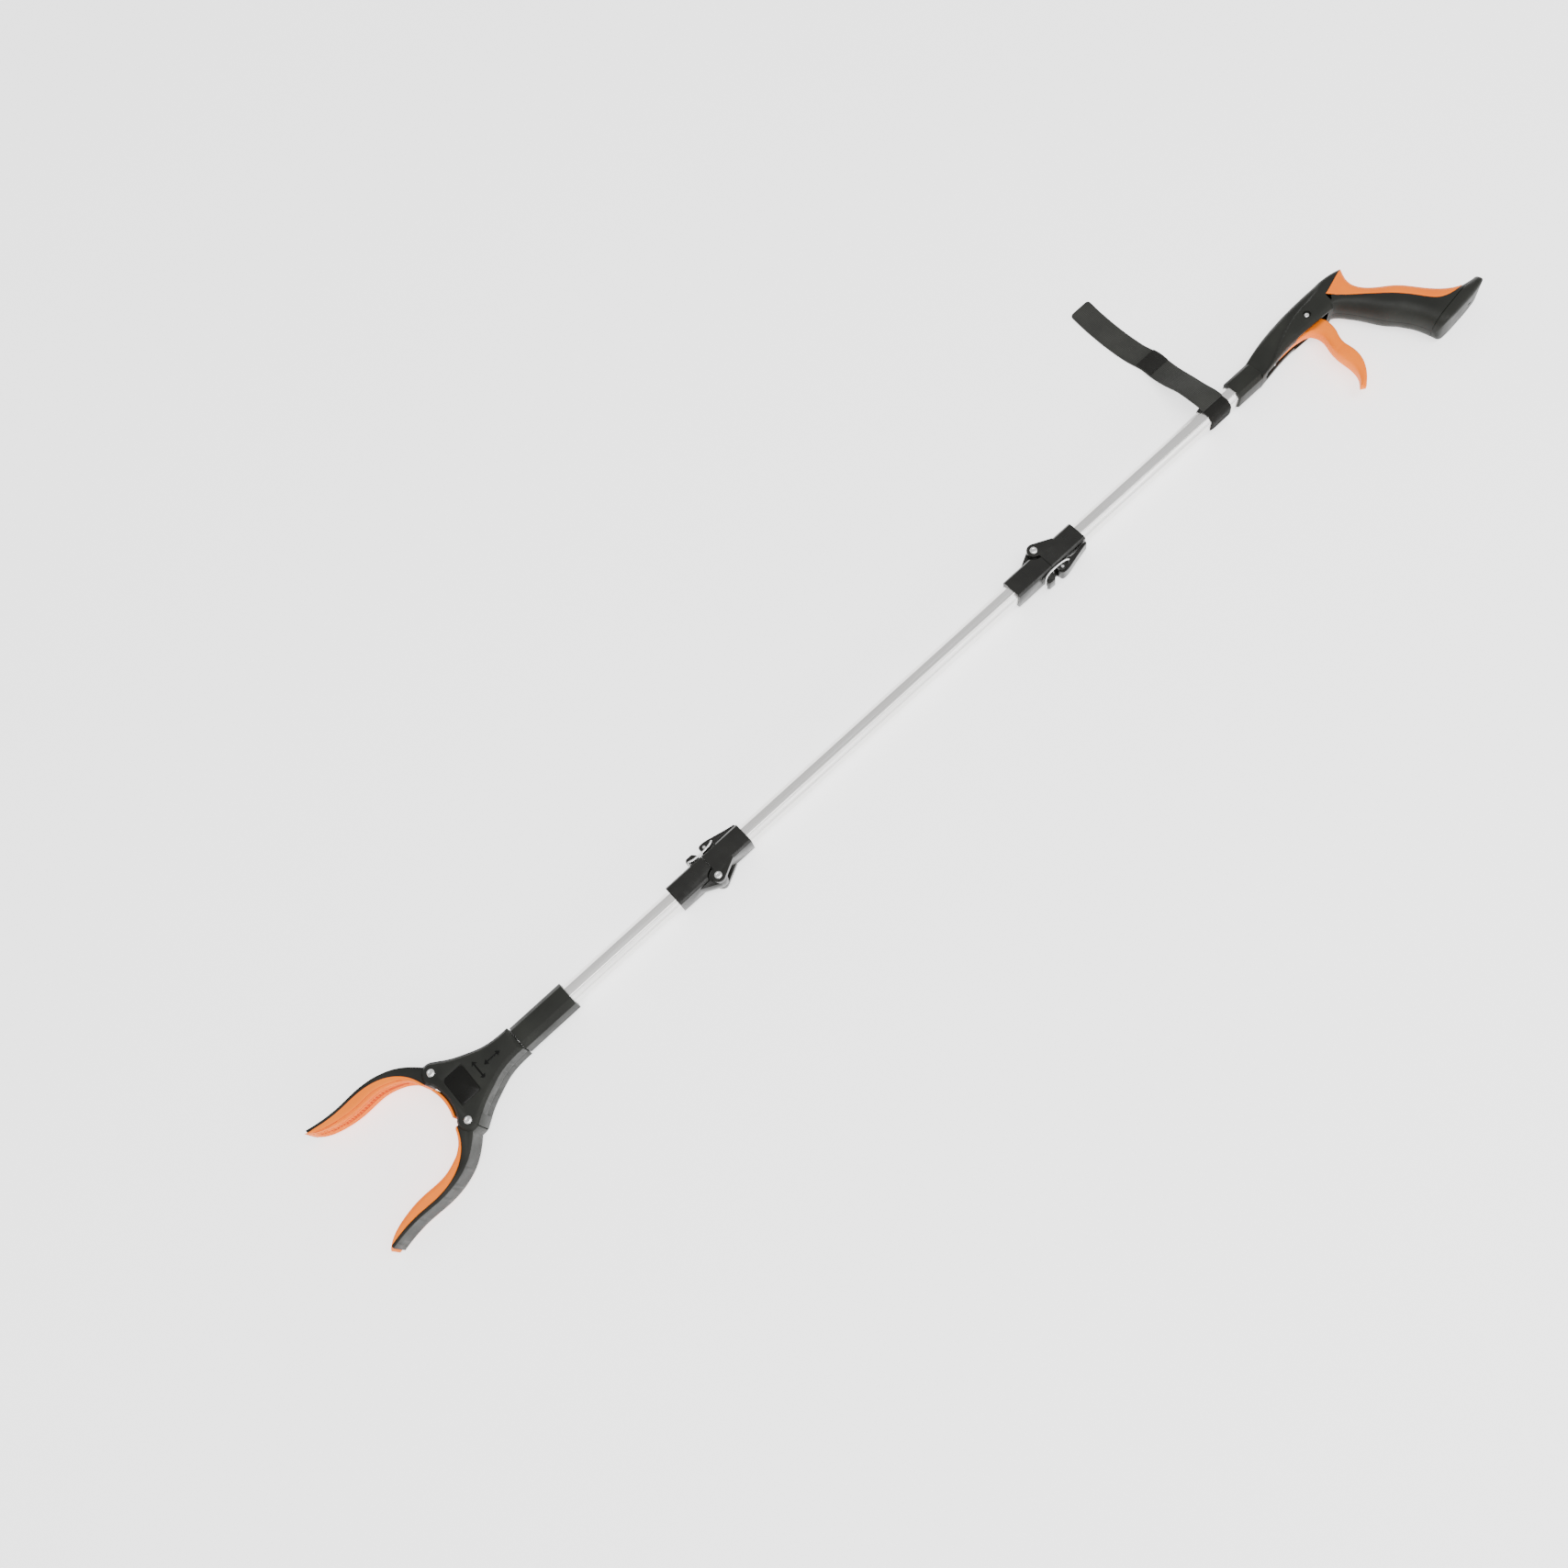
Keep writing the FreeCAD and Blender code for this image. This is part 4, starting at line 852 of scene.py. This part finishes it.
ARM_HALF, BLADE_HALF = 3.4, 6.4
trigger_rings = []
for under, top in zip(under_line, top_line):
    half_ring = []
    for _, x, y in crossing(under, top, 12):
        blade = max(ease(-y, 6.0, 12.0), ease(x, 421.0, 426.0) * ease(-y, 3.0, 9.0))
        half = ARM_HALF + (BLADE_HALF - ARM_HALF) * blade
        narrow = 1.0 - 0.28 * ease(-y, 50.0, 69.0)
        wall = half * narrow * 0.35
        height = wall + (half * narrow - wall) * pillow(distance_to(trigger_outline, x, y), 1.2 + 2.2 * blade)
        height -= 0.25 * blade * math.exp(-((y + 33.0) ** 2) / 1.0)
        half_ring.append((x, y, height))
    trigger_rings.append(mirrored(half_ring))
keep("trigger_moulded", loft("trigger", trigger_rings), trigger_nylon, "trigger", ["trigger"],
     40)
coat(bright_steel, "cable_nipple")
wire_piece = keep("trigger_wire_strands", cable_mesh("trigger_wire", (371.2, 0.0, 0.0), (388.0, -3.2, 0.0)),
                  strand_steel, None, ["trigger_wire"])
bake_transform(wire_piece)

# ================================================================ wrist strap
# A strip of charcoal hook-and-loop webbing, wound once round the tube and pressed onto itself. Its
# tail hangs down to the floor, and a darker hook patch is sewn across it.


def webbing(name, dark, light, along, across):
    """Woven tape: crossed ribs from the piece's own UV map, with fuzz over them."""
    cloth = Finish(name, 0.9, specular=0.08, sheen=0.08)
    uv = cloth.add("ShaderNodeUVMap", uv_map="weave").outputs["UV"]
    waves = []
    for axis, scale in (("X", across), ("Y", along)):
        wave = cloth.add("ShaderNodeTexWave", wave_type="BANDS", bands_direction=axis, wave_profile="SIN")
        wave.inputs["Scale"].default_value = scale
        wave.inputs["Distortion"].default_value = 1.6
        wave.inputs["Detail"].default_value = 2.0
        cloth.link(uv, wave.inputs["Vector"])
        waves.append(wave.outputs["Fac"])
    cross = cloth.add("ShaderNodeMath", operation="MULTIPLY")
    cloth.link(waves[0], cross.inputs[0])
    cloth.link(waves[1], cross.inputs[1])
    fuzz = cloth.noise(1300.0, 5.0)
    base = cloth.colours(cross.outputs[0], (0.0, dark), (0.8, light))
    patches = cloth.colours(cloth.noise(60.0, 4.0), (0.3, (0.82, 0.82, 0.82)), (0.7, (1.15, 1.15, 1.13)))
    cloth.paint(cloth.blend_colours(cloth.between(fuzz, 0.6, 1.0), base, patches, "MULTIPLY"),
                cloth.between(fuzz, 0.8, 0.98))
    cloth.emboss(cross.outputs[0], 0.00025, 0.7)
    cloth.emboss(fuzz, 0.0002, 0.6)
    return cloth.material


tape_finish = webbing("charcoal_webbing", (0.026, 0.0265, 0.024), (0.054, 0.055, 0.051), 340.0, 300.0)
patch_finish = webbing("hook_tape", (0.009, 0.009, 0.008), (0.019, 0.019, 0.0172), 520.0, 520.0)


def strip(name, line, width, thick):
    """A tape along a line of (middle place, unit vector across it), as wide as width() says."""
    places = [Vector(place) for place, _ in line]
    runs = [0.0]
    for i in range(1, len(places)):
        runs.append(runs[-1] + (places[i] - places[i - 1]).length)
    shape = bmesh.new()
    weave = shape.loops.layers.uv.new("weave")
    columns = 11
    grids = []
    for level in (1, -1):
        grid = []
        for i, (place, across) in enumerate(line):
            ahead = (places[min(i + 1, len(places) - 1)] - places[max(i - 1, 0)]).normalized()
            across = Vector(across)
            up = across.cross(ahead).normalized()
            row = []
            for j in range(columns):
                s = 2 * j / (columns - 1) - 1
                s = math.copysign(1 - (1 - abs(s)) ** 1.3, s)
                rim = 1 - 0.32 * max(0.0, abs(s) - 0.86) / 0.14
                aside = across * s * width(runs[-1] - runs[i]) / 2
                row.append(shape.verts.new(spot(*(Vector(place) + aside + up * level * rim * thick / 2))))
            grid.append(row)
        grids.append(grid)

    def face(corners, uvs):
        made = shape.faces.new(corners)
        for loop, uv in zip(made.loops, uvs):
            loop[weave].uv = (uv[0] / 1000.0, uv[1] / 1000.0)

    for grid in grids:
        for i in range(len(line) - 1):
            for j in range(columns - 1):
                corners = [grid[i][j], grid[i][j + 1], grid[i + 1][j + 1], grid[i + 1][j]]
                uvs = [(j * 2, runs[i]), (j * 2 + 2, runs[i]), (j * 2 + 2, runs[i + 1]), (j * 2, runs[i + 1])]
                face(corners, uvs)
    for i in range(len(line) - 1):
        for j in (0, columns - 1):
            face([grids[0][i][j], grids[0][i + 1][j], grids[1][i + 1][j], grids[1][i][j]],
                 [(j * 2, runs[i]), (j * 2, runs[i + 1]), (j * 2 + 1, runs[i + 1]), (j * 2 + 1, runs[i])])
    for i in (0, len(line) - 1):
        for j in range(columns - 1):
            face([grids[0][i][j], grids[0][i][j + 1], grids[1][i][j + 1], grids[1][i][j]],
                 [(j * 2, 0), (j * 2 + 2, 0), (j * 2 + 2, 1), (j * 2, 1)])
    bmesh.ops.recalc_face_normals(shape, faces=shape.faces)
    mesh = bpy.data.meshes.new(name)
    shape.to_mesh(mesh)
    shape.free()
    return mesh


STRAP_WIDE, STRAP_THICK = 20.5, 1.6
LOOP_X = 324.95
OUT = TUBE_WIDE / 2 + 0.1 + STRAP_THICK / 2
UP = TUBE_DEEP / 2 + 0.1 + STRAP_THICK / 2
round_tube = octagon(2 * OUT, 2 * UP, 4.2, 2.0, 5)
order = sorted(range(len(round_tube)), key=lambda i: math.atan2(round_tube[i][1], round_tube[i][0]))
wrap = [round_tube[i] for i in order]


def loop_ring_mesh():
    """The wound turn: an inner and an outer octagon, closed into a band with rounded rims."""
    columns = 13
    rings = []
    profile = []
    for j in range(columns):
        s = 2 * j / (columns - 1) - 1
        rim = 1 - 0.5 * max(0.0, abs(s) - 0.9) / 0.1
        profile.append((s * STRAP_WIDE / 2, rim * STRAP_THICK / 2))
    profile += [(x, -h) for x, h in reversed(profile)]
    for i, p in enumerate(wrap):
        ahead = (wrap[(i + 1) % len(wrap)] - wrap[i - 1]).normalized()
        out = Vector((ahead[1], -ahead[0]))
        rings.append([(LOOP_X + x, p[0] + out[0] * h, p[1] + out[1] * h) for x, h in profile])
    rings.append(rings[0])
    mesh = loft("loop", rings, ends=False)
    layer = mesh.uv_layers.new(name="weave")
    for polygon in mesh.polygons:
        for corner, vertex in zip(polygon.loop_indices, polygon.vertices):
            place = mesh.vertices[vertex].co
            angle = math.atan2(place.z - AXIS_Z / 1000.0, place.y - AXIS_Y / 1000.0)
            layer.data[corner].uv = (place.x, angle * 0.010)
    return mesh


# the tail's middle line, evenly numbered: x, y and z in millimetres, and its roll in degrees
TAIL = [(324.9, 2.0, 10.3, 0.0), (325.0, 7.0, 10.2, 0.0), (325.3, 12.5, 9.3, -3.0),
        (326.1, 20.0, 6.9, -7.0), (327.9, 32.0, 2.2, -8.0), (329.4, 44.0, -3.4, -4.0),
        (331.0, 56.0, -8.2, 0.0), (332.6, 66.0, -11.2, 2.0), (333.2, 75.0, -12.8, 1.0),
        (331.6, 86.0, -13.6, 0.0), (330.6, 98.0, -13.7, 0.0), (330.3, 112.0, -13.7, 0.0),
        (330.8, 128.0, -13.7, 0.0), (331.9, 142.0, -13.7, 0.0), (333.0, 151.6, -13.7, 0.0)]
TAIL_LOWEST, TAIL_GAP, TAIL_STEP = -13.68, 10.0, 0.8
tail_curves = [spline_through([(i * TAIL_GAP, row[k]) for i, row in enumerate(TAIL)], 1.0) for k in range(4)]
tail_line = []
for i in range(int((len(TAIL) - 1) * TAIL_GAP / TAIL_STEP) + 1):
    x, y, z, roll = (float(np.interp(i * TAIL_STEP, [p[0] for p in line], [p[1] for p in line]))
                     for line in tail_curves)
    roll = math.radians(-roll)
    tail_line.append(((x, y, max(z, TAIL_LOWEST)), (math.cos(roll), 0.0, -math.sin(roll))))


def tail_width(left):
    """Full width, with the corners cut round where little of the tail is left."""
    return STRAP_WIDE * (1.0 if left > 3.0 else 0.80 + 0.2 * math.sqrt(max(0.0, 1 - (1 - left / 3.0) ** 2)))


tail = keep("strap_tail_tape", strip("tail", tail_line, tail_width, STRAP_THICK), tape_finish,
            "handle", ["strap_tail"], 60)
keep("strap_loop_tape", loop_ring_mesh(), patch_finish, "handle", ["strap_loop"], 60)
patch_line = [(tuple(Vector(place) + Vector((0.0, 0.25, 1.45))), across) for place, across in tail_line
              if 62.0 < place[1] < 78.5]
patch = keep("strap_hook_tape", strip("patch", patch_line, lambda left: STRAP_WIDE - 0.6, 1.1),
             patch_finish, "handle", ["strap_hook_patch"], 60)
for piece in (tail, patch):
    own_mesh(piece)

# ================================================================ head sleeve and swivel
# A charcoal nylon sleeve is pressed on the lower tube. A steel spigot turns in it, and carries the
# head, which pulls out against a spring and locks every quarter turn.
keep_refined("head_sleeve", "lower_section", charcoal, 0.9)
coat(bright_steel, "swivel_spigot", "drive_pin_upper", "drive_pin_lower", "jaw_spring")

# ================================================================ head shells, plate and rivets
# The head is two charcoal shells over the jaws' ears. The upper shell has a smooth blank plate let
# into it and two double-ended arrows moulded on: one across for the jaws, one along for the lock.
HEAD_HALF = 13.3
for node in ("head_shell_near", "head_shell_far"):
    keep_refined(node, "head", charcoal, 0.45)


def arc(centre, radius, start, end, steps=8):
    """Places along an arc, with its angles in degrees."""
    angles = [math.radians(start + (end - start) * k / steps) for k in range(steps + 1)]
    return [(centre[0] + radius * math.cos(a), centre[1] + radius * math.sin(a)) for a in angles]


def outline_solid(name, outline, low, high, rounding):
    """A flat closed outline raised between two heights, with its edges rounded."""
    mesh = loft(name, [[(x, y, low) for x, y in outline], [(x, y, high) for x, y in outline]])
    return softened(mesh, rounding, 2)


def rounded_box(x0, y0, x1, y1, radius, steps=6):
    outline = []
    for cx, cy, start in ((x1 - radius, y1 - radius, 0), (x0 + radius, y1 - radius, 90),
                          (x0 + radius, y0 + radius, 180), (x1 - radius, y0 + radius, 270)):
        for k in range(steps + 1):
            angle = math.radians(start + 90 * k / steps)
            outline.append((cx + radius * math.cos(angle), cy + radius * math.sin(angle)))
    return outline


plate_black = moulded_charcoal("smooth_plate", 0.25, (0.004, 0.004, 0.0035), (0.0065, 0.0065, 0.0055))
plate_outline = rounded_box(-450.1, -12.1, -432.9, 12.1, 2.6)
keep("head_plate_blank", outline_solid("plate", plate_outline, 12.7, 13.28, 0.12), plate_black, "head",
     ["head_blank_plate"])


def arrow(start, end, shaft=0.6, wide=2.3, long=3.0):
    """A double-ended arrow's outline."""
    a, b = Vector(start), Vector(end)
    along = (b - a).normalized()
    across = Vector((-along[1], along[0]))
    outline = [a, a + along * long + across * wide, a + along * long + across * shaft,
               b - along * long + across * shaft, b - along * long + across * wide, b,
               b - along * long - across * wide, b - along * long - across * shaft,
               a + along * long - across * shaft, a + along * long - across * wide]
    return [tuple(p) for p in outline]


arrow_black = moulded_charcoal("arrow_black", 0.22, (0.002, 0.002, 0.0018), (0.004, 0.004, 0.0036))
arrows = [outline_solid("arrow", arrow(*ends), HEAD_HALF - 0.2, HEAD_HALF + 0.28, 0.1)
          for ends in (((-426.0, 7.8), (-426.0, -8.2)), ((-420.5, 0.0), (-406.0, 0.0)))]
keep("head_arrows", joined_meshes("arrows", arrows), arrow_black, "head", [])
# ---- the side walls run on past the ears as thin shoulders, and stop at a seam against the jaws
JAW_X, JAW_Y = -453.4, 22.6
SHOULDER = [(-443.05, 22.6), (-443.05, 25.35), (-446.0, 27.3), (-450.2, 30.2)]
SHOULDER_HALF, ROOT_HALF = 11.35, 11.0
for name, side in (("upper", 1), ("lower", -1)):
    outline = SHOULDER + arc((JAW_X, JAW_Y), 7.1, 63.0, 0.0)
    mesh = outline_solid("shoulder", [(x, y * side) for x, y in outline], -SHOULDER_HALF, SHOULDER_HALF, 0.15)
    keep("head_shoulder_" + name, mesh, charcoal, "head", [])
rivets = [peened_pin("jaw_rivet", JAW_X, y, HEAD_HALF, 1.95, 2.95) for y in (JAW_Y, -JAW_Y)]
keep("jaw_rivet_pair", joined_meshes("rivets", rivets), bright_steel, "head", ["jaw_rivets"])

# ================================================================ jaws
# Each jaw is a black nylon frame with a thick orange rubber pad moulded into its hollow. The pad
# has long ridges and a channel along its gripping face, and rows of studs in the channel.
jaw_rubber = rubber("orange_jaw_rubber", (0.92, 0.18, 0.003), (0.98, 0.22, 0.006), 0.5, 1500.0)
# The darker orange below is painted shade for the pad's channel and grooves; the pad is one rubber.
painted_groove_shade_rubber = rubber("orange_painted_groove_shade", (0.62, 0.07, 0.001), (0.70, 0.09, 0.002), 0.6, 1500.0)
JAW_SEAM = [(-547.0, 52.6), (-533.0, 49.9), (-519.0, 49.0), (-505.0, 49.4), (-493.0, 48.2),
            (-483.0, 44.9), (-473.5, 38.6), (-466.0, 29.0), (-462.4, 19.8)]
PAD_INNER = [(-464.6, 21.0), (-467.6, 28.0), (-479.0, 36.6), (-492.0, 40.4), (-508.0, 40.4),
             (-522.0, 41.4), (-534.0, 44.6), (-543.0, 49.0), (-550.0, 54.6)]
PAD_HALF = 12.0


def ridge(z, reach):
    """How far the gripping face stands in from its outline across its width. Positive is inwards."""
    depth = 0.0
    for place, wide, deep in ((0.0, 2.7, 1.7), (6.4, 0.7, 0.8), (-6.4, 0.7, 0.8),
                              (4.0, 0.35, 0.5), (-4.0, 0.35, 0.5)):
        depth += deep * math.exp(-((z - place) / wide) ** 4)
    return depth * reach


def jaw_pad(name, side):
    seam_edge = [(x, y - 0.06) for x, y in spline_through(JAW_SEAM)]
    inner_edge = spline_through(PAD_INNER)[::-1]
    pairs = [((-547.0, 52.54), (-550.0, 54.6)), ((-533.0, 49.84), (-534.0, 44.6)),
             ((-519.0, 48.94), (-522.0, 41.4)), ((-505.0, 49.34), (-508.0, 40.4)),
             ((-493.0, 48.14), (-492.0, 40.4)), ((-483.0, 44.84), (-479.0, 36.6)),
             ((-466.0, 28.94), (-467.6, 28.0)), ((-462.4, 19.74), (-464.6, 21.0))]
    seam_line, inner_line = paired(seam_edge, inner_edge, pairs, 1.0)
    rings = []
    total = len(seam_line)
    for index, ((sx, sy), (ix, iy)) in enumerate(zip(seam_line, inner_line)):
        gap = math.hypot(ix - sx, iy - sy)
        near_end = min(1.0, index / 8.0, (total - 1 - index) / 6.0)
        reach = ease(gap, 1.0, 4.5) * ease(near_end, 0.0, 1.0)
        half = PAD_HALF * (0.82 + 0.18 * pillow(index, 9.0, 2.0))
        ux, uy = (sx - ix) / max(gap, 0.01), (sy - iy) / max(gap, 0.01)
        round_over = min(4.4, gap * 0.6)
        ring = []
        side_share = 1 - round_over / max(gap, 0.01)
        for k in range(6):
            ring.append((sx + (ix - sx) * k / 6 * side_share, sy + (iy - sy) * k / 6 * side_share, half))
        for k in range(13):
            angle = math.pi / 2 * k / 12
            bend = round_over * (1 - 0.16 * reach * math.exp(-((angle - 0.72) / 0.15) ** 4))
            back = round_over - bend * math.sin(angle)
            ring.append((ix + ux * back, iy + uy * back, half - round_over + bend * math.cos(angle)))
        flat = 36
        for k in range(1, flat):
            z = (half - round_over) * (1 - 2 * k / flat)
            depth = min(ridge(z, reach), gap * 0.4)
            ring.append((ix + ux * depth, iy + uy * depth, z))
        ring += [(x, y, -z) for x, y, z in reversed(ring[:19])]
        rings.append([(x, y * side, z) for x, y, z in ring])
    mesh = loft(name, rings)
    # Faces in the channel and the grooves of the gripping face take the darker orange: painted shade.
    for polygon in mesh.polygons:
        across = abs(polygon.center.z * 1000.0 - AXIS_Z)
        gripping = polygon.normal.y * side < -0.25 or polygon.normal.x < -0.5
        groove_for_shade = across < 2.75 or abs(across - 6.4) < 0.5 or abs(across - 10.85) < 0.42
        if gripping and groove_for_shade and -0.5435 < polygon.center.x < -0.4725:
            polygon.material_index = 1
    return mesh


def stud_tree():
    """A copy of a small dome, pressed a little flat, on every given point."""
    tree = Tree("rubber_studs", ("Radius", "Float", 0.0006), ("Flatness", "Float", 0.8))
    dome = tree.node("GeometryNodeMeshIcoSphere", {"Subdivisions": 2, "Radius": tree.given["Radius"]})
    size = tree.node("ShaderNodeCombineXYZ", {"X": 1.0, "Y": tree.given["Flatness"], "Z": 1.0})
    copies = tree.node("GeometryNodeInstanceOnPoints", {
        "Points": tree.given["Geometry"], "Instance": dome.outputs["Mesh"], "Scale": size.outputs["Vector"]})
    return tree.finished(copies.outputs[0])


rubber_studs = stud_tree()
ROOT = [(-450.75, 28.6), (-450.75, 30.5), (-453.0, 30.8), (-456.0, 30.9), (-459.0, 33.0), (-457.0, 29.0)]
for name, side in (("upper", 1), ("lower", -1)):
    body = "jaw_" + name
    keep("jaw_pad_" + name + "_moulded", jaw_pad(name, side), (jaw_rubber, painted_groove_shade_rubber), body,
         ["jaw_pad_" + name], 28)
    studs = bpy.data.meshes.new("stud_points")
    stud_places = []
    for x, y in spline_through(PAD_INNER, 2.3):
        if -541.0 < x < -486.0:
            stud_places += [spot(x, (y + 1.15) * side, z) for z in (-1.3, 1.3)]
        if -548.0 < x < -536.0:
            stud_places += [spot(x, (y + 0.2) * side, z) for z in (-5.0, 5.0, -8.0, 8.0)]
    studs.from_pydata(stud_places, [], [])
    domes = grown("studs", studs, rubber_studs, radius=0.0007, flatness=0.9, material=jaw_rubber)
    keep("jaw_studs_" + name, domes, jaw_rubber, body, [], 60)
    keep_refined("jaw_frame_" + name, body, charcoal, 0.9)
    mesh = outline_solid("root", [(x, y * side) for x, y in ROOT], -ROOT_HALF, ROOT_HALF, 0.3)
    keep("jaw_root_" + name, mesh, charcoal, body, [])
keep_refined("throat_pad", "head", jaw_rubber, 0.4)
keep_refined("jaw_yoke", "yoke", black_nylon, 0.3)
